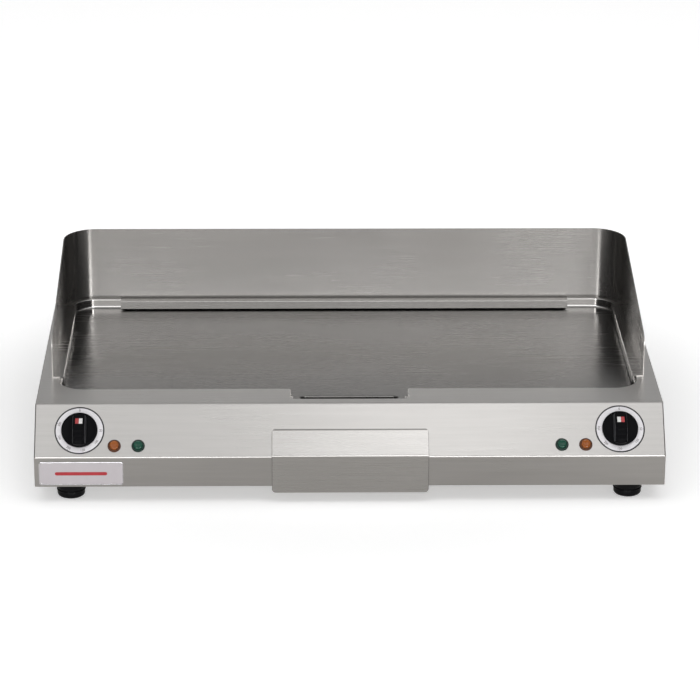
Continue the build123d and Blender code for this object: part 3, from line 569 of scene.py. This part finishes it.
def arc(centre: tuple[float, float], radius: float, start: float, end: float, steps: int) -> Points:
    """Points along a flat arc, both ends included.

    Args:
        centre: centre of the arc.
        radius: its radius.
        start: first angle in degrees.
        end: last angle in degrees.
        steps: how many spans it is cut into.

    Returns:
        The points in order.
    """
    turns = [math.radians(start + (end - start) * i / steps) for i in range(steps + 1)]
    return [(centre[0] + radius * math.cos(t), centre[1] + radius * math.sin(t)) for t in turns]


def rounded_box(width: float, height: float, radius: float, steps: int = 8) -> Points:
    """Anticlockwise outline of a rounded rectangle centred on the origin."""
    x, y = width / 2 - radius, height / 2 - radius
    corners = ((x, y, 0), (-x, y, 90), (-x, -y, 180), (x, -y, 270))
    return [point for cx, cy, turn in corners for point in arc((cx, cy), radius, turn, turn + 90, steps)]


def dress(finish: Finish, *nodes: str) -> None:
    """Give the named CAD nodes a finish."""
    for name in nodes:
        mesh = frame["nodes"][name].data
        mesh.materials.clear()
        mesh.materials.append(finish.material())
        LOG.info("node %s dressed in %s", name, finish.name)


def joint_of(body: str) -> dict:
    """The joint that moves a body."""
    return next(joint for joint in frame["joints"] if joint["child"] == body)


def both(*stems: str) -> list[str]:
    """The left and right node of each name."""
    return [f"{stem}_{side}" for stem in stems for side, _ in SIDES]


# ---------------------------------------- sub-assemblies
@dataclass
class ControlPanel:
    """The slope that carries the controls, as a set of axes worked out from the knob joints."""
    normal: Vector = None
    origin: Vector = None

    def __post_init__(self) -> None:
        """Read the panel's plane from the left knob's joint."""
        joint = joint_of("knob_left")
        self.normal = -Vector(joint["axis"]).normalized()
        self.origin = Vector(joint["pos_m"])

    def at(self, place: Vector) -> Matrix:
        """Axes on the panel below a point: X to the right, Y up the slope, Z out of the panel.

        Args:
            place: any point; it is dropped onto the panel along the panel's normal.

        Returns:
            The matrix from those axes to the model's axes.
        """
        foot = place - self.normal * (place - self.origin).dot(self.normal)
        across = Vector((1, 0, 0))
        upward = self.normal.cross(across)
        turn = Matrix((across, upward, self.normal)).transposed()
        return Matrix.Translation(foot) @ turn.to_4x4()

    def at_knob(self, side: str) -> Matrix:
        """Axes on the panel below the knob of one side."""
        return self.at(Vector(joint_of(f"knob_{side}")["pos_m"]))


class Housing:
    """Shell, base plate, rear panel and the screws that hold them."""

    def dress(self) -> None:
        """Brush the shell and panels and plate the screws."""
        dress(HOUSING, "top_housing")
        dress(FOLDED, "base_plate", "rear_panel")
        dress(ZINC, "rear_screws", "base_screws")


@dataclass
class CookingPlate:
    """The sunk plate, the ground seam round it, and what is under it."""
    plate_overlap: float = 8 * MM
    corner_radius: float = 36 * MM
    notch_width: float = 166 * MM
    notch_depth: float = 38.5 * MM
    notch_radius: float = 8 * MM
    cove: float = 2.6 * MM
    cove_steps: int = 6
    seam_depth: float = 0.3 * MM
    arc_steps: int = 14

    def outline(self) -> Points:
        """Anticlockwise outline of the sunk area, worked out from the plate that lies under it."""
        low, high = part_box("griddle_plate")
        lap, r, n = self.plate_overlap, self.corner_radius, self.notch_radius
        left, right, rear = low.x + lap, high.x - lap, high.y - lap
        tongue = low.y + lap
        front = tongue + self.notch_depth
        half = self.notch_width / 2
        return [
            *arc((right - r, front + r), r, 270, 360, self.arc_steps),
            *arc((right - r, rear - r), r, 0, 90, self.arc_steps),
            *arc((left + r, rear - r), r, 90, 180, self.arc_steps),
            *arc((left + r, front + r), r, 180, 270, self.arc_steps),
            (-half, front),
            *arc((-half + n, tongue + n), n, 180, 270, self.arc_steps // 2),
            *arc((half - n, tongue + n), n, 270, 360, self.arc_steps // 2),
            (half, front),
        ]

    def build(self) -> None:
        """Lay the ground weld seam where the collar meets the plate."""
        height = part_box("griddle_plate")[1].z
        seam = Piece("plate_seam", "body", "cooking_surface", BRIGHT, sharp=60.0)
        outline, buried = self.outline(), height - self.seam_depth
        loops = [[Vector((*point, buried)) for point in outline]]
        for step in range(self.cove_steps + 1):
            turn = math.pi / 2 * step / self.cove_steps
            inset = self.cove * (1 - math.cos(turn))
            lift = self.cove * (1 - math.sin(turn))
            loops.append([Vector((*point, height + lift)) for point in inset_outline(outline, inset)])
        loops.append([Vector((*point, buried)) for point in inset_outline(outline, self.cove)])
        seam.loft(loops, closed=True)
        seam.finish_off()

    def dress(self) -> None:
        """Finish the plate, its drain and the heating parts."""
        dress(COOKING, "griddle_plate")
        dress(FOLDED, "drain_chute", "heat_shield", *both("clamp_bars"))
        dress(SHEATH, *both("heating_element"))
        dress(COPPER, *both("sensor"))
        dress(MAT, "insulation_mat")
        dress(CERAMIC, *both("safety_cutout"))
        dress(ZINC, "shield_spacers", "shield_screws", "plate_studs", "plate_nuts")


class SplashGuard:
    """The lift-off guard, bent from one sheet with its hook rails."""

    def dress(self) -> None:
        """Brush the guard along its length."""
        dress(GUARD, "splash_guard")


class GreaseDrawer:
    """Tray, bent front and runners."""

    def dress(self) -> None:
        """Brush the front and finish the tray and runners."""
        dress(DRAWER, "drawer_front")
        dress(FOLDED, "drawer_tray", *both("drawer_runner"))


@dataclass
class Knob:
    """A control knob: a dished round skirt with a stepped, tapering grip bar and a two-tone marker."""
    side: str
    panel: ControlPanel
    red_first: bool
    radius: float = 25.5 * MM
    seat: float = 1.1 * MM
    skirt: float = 6.0 * MM
    grip_reach: float = 24.3 * MM
    grip_top: float = 20.5 * MM
    grip_low: float = 13.0 * MM
    grip_high: float = 8.2 * MM
    grip_round: float = 4.0 * MM
    rail: float = 0.9 * MM
    draft: float = 1.8 * MM
    flag_width: float = 10.4 * MM
    flag_height: float = 9.2 * MM
    flag_middle: float = 8.6 * MM
    stations: int = 90
    root: float = 3.0 * MM
    flank_share: float = 0.86
    flank_steps: int = 30

    @property
    def crest(self) -> Profile:
        """Height of the grip along its length, from the lower end up, in metres."""
        steps = ((-24.3, 11.0), (-19.0, 12.2), (-15.4, 14.6), (-14.6, 17.0), (-13.8, 17.6), (-6.6, 18.4),
                 (-5.8, 18.8), (-5.0, 21.0), (-4.2, 21.6), (20.5, 13.6))
        return [(y * MM, z * MM) for y, z in steps]

    def height(self, y: float) -> float:
        """Height of the grip's top above the panel, at a distance up the slope from its centre."""
        for (y0, z0), (y1, z1) in zip(self.crest, self.crest[1:]):
            if y <= y1:
                return z0 + (z1 - z0) * (y - y0) / (y1 - y0)
        return self.crest[-1][1]

    def half_width(self, y: float) -> float:
        """Half the grip's width at a place along it, limited by the round ends."""
        share = (y + self.grip_reach) / (self.grip_top + self.grip_reach)
        taper = self.grip_low + (self.grip_high - self.grip_low) * share ** 0.8
        past = max(0.0, (y - self.grip_top) / self.grip_round + 1)
        corner = self.grip_high * math.sqrt(max(0.0, 1 - past ** 4))
        return min(taper, corner, math.sqrt(max(0.0, self.grip_reach ** 2 - y ** 2)))

    def section(self, y: float) -> list[Vector]:
        """Closed cross section at a place along the grip, with a raised rail along each edge."""
        w, h, r = self.half_width(y), self.height(y), self.rail
        sunk = min(0.7 * MM, w * 0.15)
        inner = max(w - 2.4 * r, w * 0.45)
        right = [(w, self.root), (w, h * 0.55), (w - 0.2 * r, h - 0.9 * r), (w - 0.7 * r, h - 0.2 * r),
                 (w - 1.2 * r, h), (w - 1.7 * r, h - 0.2 * r), (inner, h - sunk),
                 (inner * 0.5, h - sunk * 1.1)]
        if w < 3 * r:
            narrow = ((1, self.root), (1, h * 0.55), (0.98, h - 0.9 * r), (0.9, h - 0.5 * r),
                      (0.8, h - 0.3 * r), (0.7, h - 0.3 * r), (0.6, h - sunk), (0.3, h - sunk * 1.1))
            right = [(w * k, z) for k, z in narrow]
        left = [(-x, z) for x, z in reversed(right)]
        return [Vector((x, y, z)) for x, z in right + left]

    def flank(self, y: float, side: int) -> list[Vector]:
        """Cross section of the sloping flank along one edge of the grip, made in a lighter piece that
        paints its highlight.

        Args:
            y: where along the grip it is taken.
            side: -1 for the left flank, 1 for the right one.

        Returns:
            A closed ring of points.
        """
        w, h = self.half_width(y), self.height(y)
        foot = min(w + self.draft, math.sqrt((self.radius - 0.8 * MM) ** 2 - y ** 2))
        low = self.skirt - 1.2 * MM
        points = [(foot, low), (w + 0.1 * MM, h - self.rail), (w - 0.5 * MM, h - 0.9 * self.rail),
                  (w - 0.9 * MM, low)]
        return [Vector((side * x, y, z)) for x, z in points[::side]]

    def build(self) -> None:
        """Make the moulding and its two-tone marker."""
        place = self.panel.at_knob(self.side)
        body = f"knob_{self.side}"
        moulding = Piece(f"knob_moulding_{self.side}", body, "knob_black", BLACK, (body,), place,
                         sharp=38.0)
        r, top = self.radius, self.skirt
        moulding.lathe([(3 * MM, self.seat), (r - 0.6 * MM, self.seat), (r, self.seat + 0.5 * MM),
                        (r - 0.15 * MM, top - 1.9 * MM), (r - 0.5 * MM, top - 0.8 * MM),
                        (r - 1.2 * MM, top - 0.2 * MM), (r - 2.2 * MM, top), (r - 3.2 * MM, top - 0.4 * MM),
                        (r * 0.6, top - 0.9 * MM), (3 * MM, top - 1.0 * MM)])
        middle, reach = (self.grip_top - self.grip_reach) / 2, (self.grip_top + self.grip_reach) / 2
        turns = [math.pi * step / self.stations for step in range(1, self.stations)]
        moulding.loft([self.section(middle - reach * math.cos(turn)) for turn in turns])
        moulding.finish_off()
        # The flanks are laid over the grip's sides in the lighter plastic, as a painted highlight.
        flanks = Piece(f"knob_flanks_{self.side}", body, "knob_black", KNOB_FLANK_HIGHLIGHT, (), place)
        low, high, steps = -self.grip_reach * self.flank_share, self.grip_top - 1.5 * MM, self.flank_steps
        for side in (-1, 1):
            flanks.loft([self.flank(low + (high - low) * step / steps, side) for step in range(steps + 1)])
        flanks.finish_off()
        self.build_flag(place, body)

    def build_flag(self, place: Matrix, body: str) -> None:
        """Set the marker's two halves in the grip's upper facet.

        Args:
            place: the knob's axes.
            body: the body that the knob turns with.
        """
        low, high = self.flag_middle - self.flag_height / 2, self.flag_middle + self.flag_height / 2
        tilt = math.atan2(self.height(high) - self.height(low), self.flag_height)
        centre = Vector((0, self.flag_middle, self.height(self.flag_middle)))
        facet = place @ Matrix.Translation(centre) @ Matrix.Rotation(tilt, 4, "X")
        names = (("red", FLAG_RED), ("white", FLAG_WHITE))
        for index, (tone, finish) in enumerate(names if self.red_first else names[::-1]):
            shift = (index - 0.5) * self.flag_width / 2
            half = Piece(f"knob_flag_{tone}_{self.side}", body, "flag_red_white", finish,
                         (f"knob_flag_{self.side}",), facet @ Matrix.Translation((shift, 0, 0)))
            half.slab(rounded_box(self.flag_width / 2 - 0.15 * MM, self.flag_height, 0.5 * MM, 4),
                      -1.2 * MM, -0.35 * MM, 0.15 * MM)
            half.finish_off()


@dataclass
class Dial:
    """The printed dial behind a knob: outline, ticks and numbers."""
    side: str
    panel: ControlPanel
    angles: Sequence[float]
    radius: float = 35.0 * MM
    outline_width: float = 1.9 * MM
    face: float = 0.5 * MM
    ink: float = 0.12 * MM
    number_radius: float = 29.4 * MM
    number_size: float = 4.6 * MM
    tick_length: float = 1.3 * MM
    tick_width: float = 0.45 * MM
    step: int = 50

    def build(self) -> None:
        """Print the outline and ticks in black, and the numbers in grey."""
        place = self.panel.at_knob(self.side)
        edge, low, high = self.radius, self.face - 0.1 * MM, self.face + self.ink
        print_ = Piece(f"dial_outline_{self.side}", "body", "dial_white", DIAL_INK, (), place)
        inner = edge - self.outline_width
        print_.lathe([(inner, low), (edge, low), (edge, high), (inner, high)], segments=160, hollow=True)
        for angle in self.angles:
            turned = self.direction(angle)
            sideways = Vector((turned.y, -turned.x)) * self.tick_width / 2
            near, far = turned * (inner - self.tick_length), turned * (inner + 0.1 * MM)
            corners = (near + sideways, far + sideways, far - sideways, near - sideways)
            print_.loft([[Vector((*c, z)) for c in corners] for z in (low, high)])
        print_.finish_off()
        numbers = Piece(f"dial_numbers_{self.side}", "body", "dial_white", NUMBER_INK, (), place)
        for index, angle in enumerate(self.angles):
            numbers.add_mesh(self.figure(str(index * self.step)), self.number_place(angle))
        numbers.finish_off()

    def direction(self, angle: float) -> Vector:
        """The way out from the centre at a clockwise angle from the top, in degrees."""
        return Vector((math.sin(math.radians(angle)), math.cos(math.radians(angle))))

    def number_place(self, angle: float) -> Matrix:
        """Where a number stands: square to the radius, and readable in the lower half too.

        Args:
            angle: clockwise angle from the top in degrees.

        Returns:
            The number's axes within the dial's.
        """
        turned = self.direction(angle) * self.number_radius
        lean = -angle if math.cos(math.radians(angle)) > -0.1 else 180 - angle
        return Matrix.Translation((*turned, self.face)) @ Matrix.Rotation(math.radians(lean), 4, "Z")

    def figure(self, text: str) -> bpy.types.Mesh:
        """The digits as a thin mesh, centred on the origin."""
        curve = bpy.data.curves.new("figure", "FONT")
        curve.body = text
        curve.size = self.number_size
        curve.extrude = self.ink / 2
        curve.align_x = "CENTER"
        curve.align_y = "CENTER"
        curve.resolution_u = 3
        holder = bpy.data.objects.new("figure", curve)
        bpy.context.scene.collection.objects.link(holder)
        mesh = bpy.data.meshes.new_from_object(holder.evaluated_get(bpy.context.evaluated_depsgraph_get()))
        bpy.data.objects.remove(holder)
        return mesh


@dataclass
class PilotLamp:
    """A pilot lamp: a fluted rim round a raised cap."""
    colour: str
    side: str
    panel: ControlPanel
    rim_finish: Finish
    cap_finish: Finish
    radius: float = 9.3 * MM
    cap_radius: float = 6.5 * MM
    rim_height: float = 2.3 * MM
    cap_height: float = 6.0 * MM
    flutes: int = 24
    flute_depth: float = 0.16 * MM

    def build(self) -> None:
        """Make the rim and the cap on the lamp's place in the panel."""
        node = f"lamp_lens_{self.colour}_{self.side}"
        low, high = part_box(node)
        place = self.panel.at((low + high) / 2)
        slot = f"lens_{self.colour}"
        r, c, top = self.radius, self.cap_radius, self.rim_height
        rim = Piece(f"lamp_rim_{self.colour}_{self.side}", "body", slot, self.rim_finish, (node,), place)
        rim.lathe([(c - MM, 0.0), (r, 0.0), (r, 0.8 * MM), (r - 0.3 * MM, 1.3 * MM), (r - 1.2 * MM, top),
                   (c + 0.6 * MM, top), (c + 0.25 * MM, top - 0.5 * MM), (c - MM, top - 0.5 * MM)],
                  segments=144, hollow=True,
                  flute=lambda turn, z: self.flute_depth * math.cos(self.flutes * turn) * (z > MM))
        rim.finish_off()
        cap = Piece(f"lamp_cap_{self.colour}_{self.side}", "body", slot, self.cap_finish, (node,), place)
        cap.lathe([(0.2 * MM, top - 0.8 * MM), (c, top - 0.8 * MM), (c - 0.1 * MM, top + 1.6 * MM),
                   (c - 0.35 * MM, self.cap_height - 0.9 * MM), (c - 0.9 * MM, self.cap_height - 0.25 * MM),
                   (c - 1.7 * MM, self.cap_height), (c - 2.4 * MM, self.cap_height - 0.25 * MM),
                   (0.2 * MM, self.cap_height - 0.5 * MM)])
        cap.finish_off()


@dataclass
class Controls:
    """Both knobs with their dials, spindles, thermostats and lamps."""
    left_marks: Sequence[float] = (0, 90, 126, 170, 210, 250, 289)
    right_marks: Sequence[float] = (0, 90, 128, 183, 224, 272)

    def build(self) -> None:
        """Make the knobs, dial print and lamps."""
        panel = ControlPanel()
        marks = {"left": self.left_marks, "right": self.right_marks}
        for side, sign in SIDES:
            Knob(side, panel, red_first=sign < 0).build()
            Dial(side, panel, marks[side]).build()
            PilotLamp("amber", side, panel, AMBER_RIM, AMBER_CAP).build()
            PilotLamp("green", side, panel, GREEN_RIM, GREEN_CAP).build()

    def dress(self) -> None:
        """Finish the dials and everything behind the panel."""
        dress(DIAL, *both("dial"))
        dress(BLACK, *both("knob"))
        dress(FLAG_WHITE, *both("knob_flag"))
        dress(ZINC, *both("spindle", "thermostat"), "thermostat_screws", "lamp_nuts")
        dress(LAMP_BODY, *both("lamp_holder_amber", "lamp_holder_green"))
        dress(AMBER_CAP, *both("lamp_lens_amber"))
        dress(GREEN_CAP, *both("lamp_lens_green"))


@dataclass
class Badge:
    """A blank silver plate on the apron, with a raised rim and a plain red stripe."""
    rim_width: float = 1.3 * MM
    rim_height: float = 0.25 * MM
    corner_radius: float = 4.0 * MM
    stripe_length: float = 0.62
    stripe_height: float = 5.0 * MM

    def build(self) -> None:
        """Make the rim and the stripe on the badge's face."""
        low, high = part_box("badge")
        width, height = high.x - low.x, high.z - low.z
        facing = Matrix.Rotation(math.pi / 2, 4, "X")
        place = Matrix.Translation(((low.x + high.x) / 2, low.y, (low.z + high.z) / 2)) @ facing
        rim = Piece("badge_rim", "body", "badge_silver", SILVER_EDGE, (), place)
        outline = rounded_box(width, height, self.corner_radius)
        wide, tall = self.rim_width, self.rim_height
        levels = ((0.0, -0.4 * MM), (0.0, 0.05 * MM), (wide * 0.3, tall), (wide * 0.7, tall), (wide, 0.0),
                  (wide, -0.4 * MM))
        rings = [[Vector((*p, z)) for p in inset_outline(outline, inset)] for inset, z in levels]
        rim.loft(rings, closed=True)
        rim.finish_off()
        stripe = Piece("badge_stripe", "body", "badge_silver", RED_INK, (), place)
        stripe.slab(rounded_box(width * self.stripe_length, self.stripe_height, self.stripe_height * 0.49),
                    -0.1 * MM, 0.18 * MM, 0.1 * MM)
        stripe.finish_off()

    def dress(self) -> None:
        """Finish the plate itself."""
        dress(SILVER, "badge")


@dataclass
class Feet:
    """Four moulded feet with a grip ring, and the screws that hold them."""
    radius: float = 20.5 * MM
    bore: float = 3.3 * MM
    seat_radius: float = 9.0 * MM
    seat_depth: float = 9.0 * MM

    def build(self) -> None:
        """Turn each foot where its node stands."""
        r = self.radius
        for corner in CORNERS:
            low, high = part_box(f"foot_{corner}")
            height = high.z - low.z
            centre = ((low.x + high.x) / 2, (low.y + high.y) / 2)
            foot = Piece(f"foot_moulding_{corner}", "body", "foot_black", RUBBER, (f"foot_{corner}",))
            tread = arc((r - 5.4 * MM, 4.6 * MM), 4.6 * MM, -90, -5, 8)
            ring = arc((r - 1.4 * MM, 10.0 * MM), 1.4 * MM, -80, 80, 8)
            neck = r - 0.9 * MM
            foot.lathe([(self.bore, self.seat_depth), (self.seat_radius, self.seat_depth),
                        (self.seat_radius, 0.0), *tread, (neck, 8.0 * MM), *ring, (neck, 12.0 * MM),
                        (neck, 12.8 * MM), (r - 0.2 * MM, 13.6 * MM), (r, 14.4 * MM), (r, height - 3 * MM),
                        (r - 0.8 * MM, height - 1.2 * MM), (r - 2 * MM, height), (self.bore, height)],
                       centre, hollow=True)
            foot.finish_off()

    def dress(self) -> None:
        """Finish the solid feet and their fasteners."""
        dress(RUBBER, *[f"foot_{corner}" for corner in CORNERS])
        dress(ZINC, "foot_screws", "foot_washers", "foot_nuts")


class Electrics:
    """Terminal block, wiring, cable gland and bonding terminal."""

    def dress(self) -> None:
        """Finish each by what it is made of."""
        dress(TERMINAL, "terminal_block")
        dress(SLEEVE, "wiring_loom")
        dress(GLAND, "cable_gland", "gland_nut")
        dress(ZINC, "bonding_stud", "bonding_nuts")


# ---------------------------------------- studio
class Reach(Enum):
    """Which surfaces a lamp lights."""
    ALL = (True, True)
    MATT = (True, False)
    GLOSSY = (False, True)


@dataclass
class Softbox:
    """A rectangular lamp that faces a point of the scene."""
    name: str
    place: tuple[float, float, float]
    aim: tuple[float, float, float]
    width: float
    height: float
    radiance: float
    reach: Reach = Reach.ALL

    def build(self) -> None:
        """Make the lamp, hidden from the camera."""
        lamp = bpy.data.lights.new(self.name, "AREA")
        lamp.shape = "RECTANGLE"
        lamp.size, lamp.size_y = self.width, self.height
        lamp.energy = self.radiance * math.pi * self.width * self.height
        made = bpy.data.objects.new(self.name, lamp)
        bpy.context.scene.collection.objects.link(made)
        made.location = self.place
        made.rotation_euler = (Vector(self.aim) - Vector(self.place)).to_track_quat("-Z", "Y").to_euler()
        made.visible_camera = False
        made.visible_diffuse, made.visible_glossy = self.reach.value
        LOG.info("lamp %s", self.name)


@dataclass
class Studio:
    """Pale floor, lamps, background and camera."""
    floor_size: float = 14.0
    floor_tone: Colour = (0.90, 0.90, 0.90)
    card_tone: Colour = (0.79, 0.77, 0.745)
    # Floor glow near the griddle, kept low to paint a soft shadow round it; glow far off; and how far that
    # painted shadow reaches.
    shadow_glow: float = 0.45
    far_glow: float = 0.84
    shadow_radius: float = 1.0
    sky: float = 0.08
    lens: float = 157.9
    camera_place: tuple[float, float, float] = (-0.0886, -4.21725, 1.7511)
    pitch: float = 21.014
    yaw: float = 1.262
    roll: float = 0.3

    def lamps(self) -> list[Softbox]:
        """The soft lights, by what each one is for."""
        middle = (0.0, 0.0, 0.15)
        return [
            Softbox("overhead_wide", (0.1, -1.35, 2.40), middle, 3.6, 1.3, 0.98),
            Softbox("overhead_middle", (0.22, -1.30, 2.35), middle, 0.42, 1.1, 1.45),
            Softbox("overhead_left", (-0.95, -1.30, 2.35), middle, 0.4, 1.1, 0.95),
            Softbox("overhead_right", (1.05, -1.30, 2.35), middle, 0.4, 1.1, 0.80),
            Softbox("ceiling", (0.0, 1.1, 2.6), (0.0, 1.1, 0.0), 3.8, 3.4, 0.62, Reach.GLOSSY),
            Softbox("behind_camera", (0.05, -4.9, 1.70), middle, 2.9, 2.5, 2.85),
            Softbox("behind_camera_right", (0.42, -4.85, 1.75), middle, 0.24, 1.9, 0.8, Reach.GLOSSY),
            Softbox("strip_left", (-1.52, -4.3, 1.8), middle, 0.42, 2.2, 13.0, Reach.GLOSSY),
            Softbox("strip_right", (1.52, -4.3, 1.8), middle, 0.42, 2.2, 16.0, Reach.GLOSSY),
            Softbox("back_wall", (0.0, 3.4, 1.35), middle, 5.2, 1.3, 0.62, Reach.GLOSSY),
            Softbox("floor_fill", (0.0, -0.8, 3.0), (0.0, 0.0, 0.0), 5.0, 5.0, 0.55, Reach.MATT),
        ]

    def build(self) -> None:
        """Lay the floor, hang the lamps and set the camera."""
        scene = bpy.context.scene
        scene.view_settings.view_transform = "Standard"
        self.build_floor()
        world = bpy.data.worlds.new("studio")
        world.use_nodes = True
        background = next(n for n in world.node_tree.nodes if n.type == "BACKGROUND")
        background.inputs["Color"].default_value = (1.0, 1.0, 1.0, 1.0)
        background.inputs["Strength"].default_value = self.sky
        scene.world = world
        for lamp in self.lamps():
            lamp.build()
        self.build_camera()

    def build_floor(self) -> None:
        """A pale floor that glows, painted darker round the griddle as a soft painted shadow, and the
        duller card that the steel reflects in its place.
        """
        self.sheet("floor", 0.0, self.floor_tone, seen=True)
        self.sheet("floor_card", -MM, self.card_tone, seen=False)

    def sheet(self, name: str, height: float, tone: Colour, seen: bool) -> None:
        """Lay one level sheet.

        Args:
            name: the sheet's name.
            height: how high it lies.
            tone: its colour.
            seen: seen directly and by matt surfaces, and otherwise only by glossy ones.
        """
        tree = ShaderTree(name)
        cloud = tree.noise((1.5, 1.5, 1.5), 2.0)
        tree.set("Base Color", tree.blend(cloud, scaled(tone, 0.99), tone))
        tree.set("Roughness", 0.85 + (cloud - 0.5) * 0.1)
        tree.set("Specular IOR Level", 0.1)
        if seen:
            # Painted shadow: the floor's glow is darker near the griddle and brightens outwards.
            away = tree.maths("SQRT", tree.axis(tree.place(), 0) ** 2 + tree.axis(tree.place(), 1) ** 2)
            glow = tree.ramp(away, self.shadow_radius * 0.35, self.shadow_radius)
            near, far = scaled(tone, self.shadow_glow), scaled(tone, self.far_glow)
            tree.set("Emission Color", tree.blend(glow, near, far))
            tree.set("Emission Strength", 1.0)
        mesh = bpy.data.meshes.new(name)
        half = self.floor_size / 2
        corners = ((-half, -half), (half, -half), (half, half), (-half, half))
        mesh.from_pydata([(x, y, height) for x, y in corners], [], [(0, 1, 2, 3)])
        mesh.materials.append(tree.material)
        laid = bpy.data.objects.new(name, mesh)
        laid.visible_camera = laid.visible_diffuse = seen
        laid.visible_glossy = not seen
        laid.visible_shadow = False
        bpy.context.scene.collection.objects.link(laid)

    def build_camera(self) -> None:
        """A long lens in front of the griddle, looking slightly down."""
        pitch, yaw, roll = (math.radians(a) for a in (self.pitch, self.yaw, self.roll))
        flat = math.cos(pitch)
        forward = Vector((math.sin(yaw) * flat, math.cos(yaw) * flat, -math.sin(pitch)))
        level = Vector((math.cos(yaw), -math.sin(yaw), 0))
        upright = level.cross(forward)
        right = level * math.cos(roll) + upright * math.sin(roll)
        up = upright * math.cos(roll) - level * math.sin(roll)
        data = bpy.data.cameras.new("camera")
        data.lens = self.lens
        data.clip_end = 60.0
        camera = bpy.data.objects.new("camera", data)
        turn = Matrix((right, up, -forward)).transposed().to_4x4()
        camera.matrix_world = Matrix.Translation(self.camera_place) @ turn
        bpy.context.scene.collection.objects.link(camera)
        bpy.context.scene.camera = camera


def main() -> None:
    """Build and dress every sub-assembly, then the studio."""
    logging.basicConfig(level=logging.INFO, format="%(message)s")
    Studio().build()
    plate, controls, badge, feet = CookingPlate(), Controls(), Badge(), Feet()
    for part in (plate, controls, badge, feet):
        part.build()
    for part in (Housing(), plate, SplashGuard(), GreaseDrawer(), controls, badge, feet, Electrics()):
        part.dress()


if __name__ == "__main__":
    main()
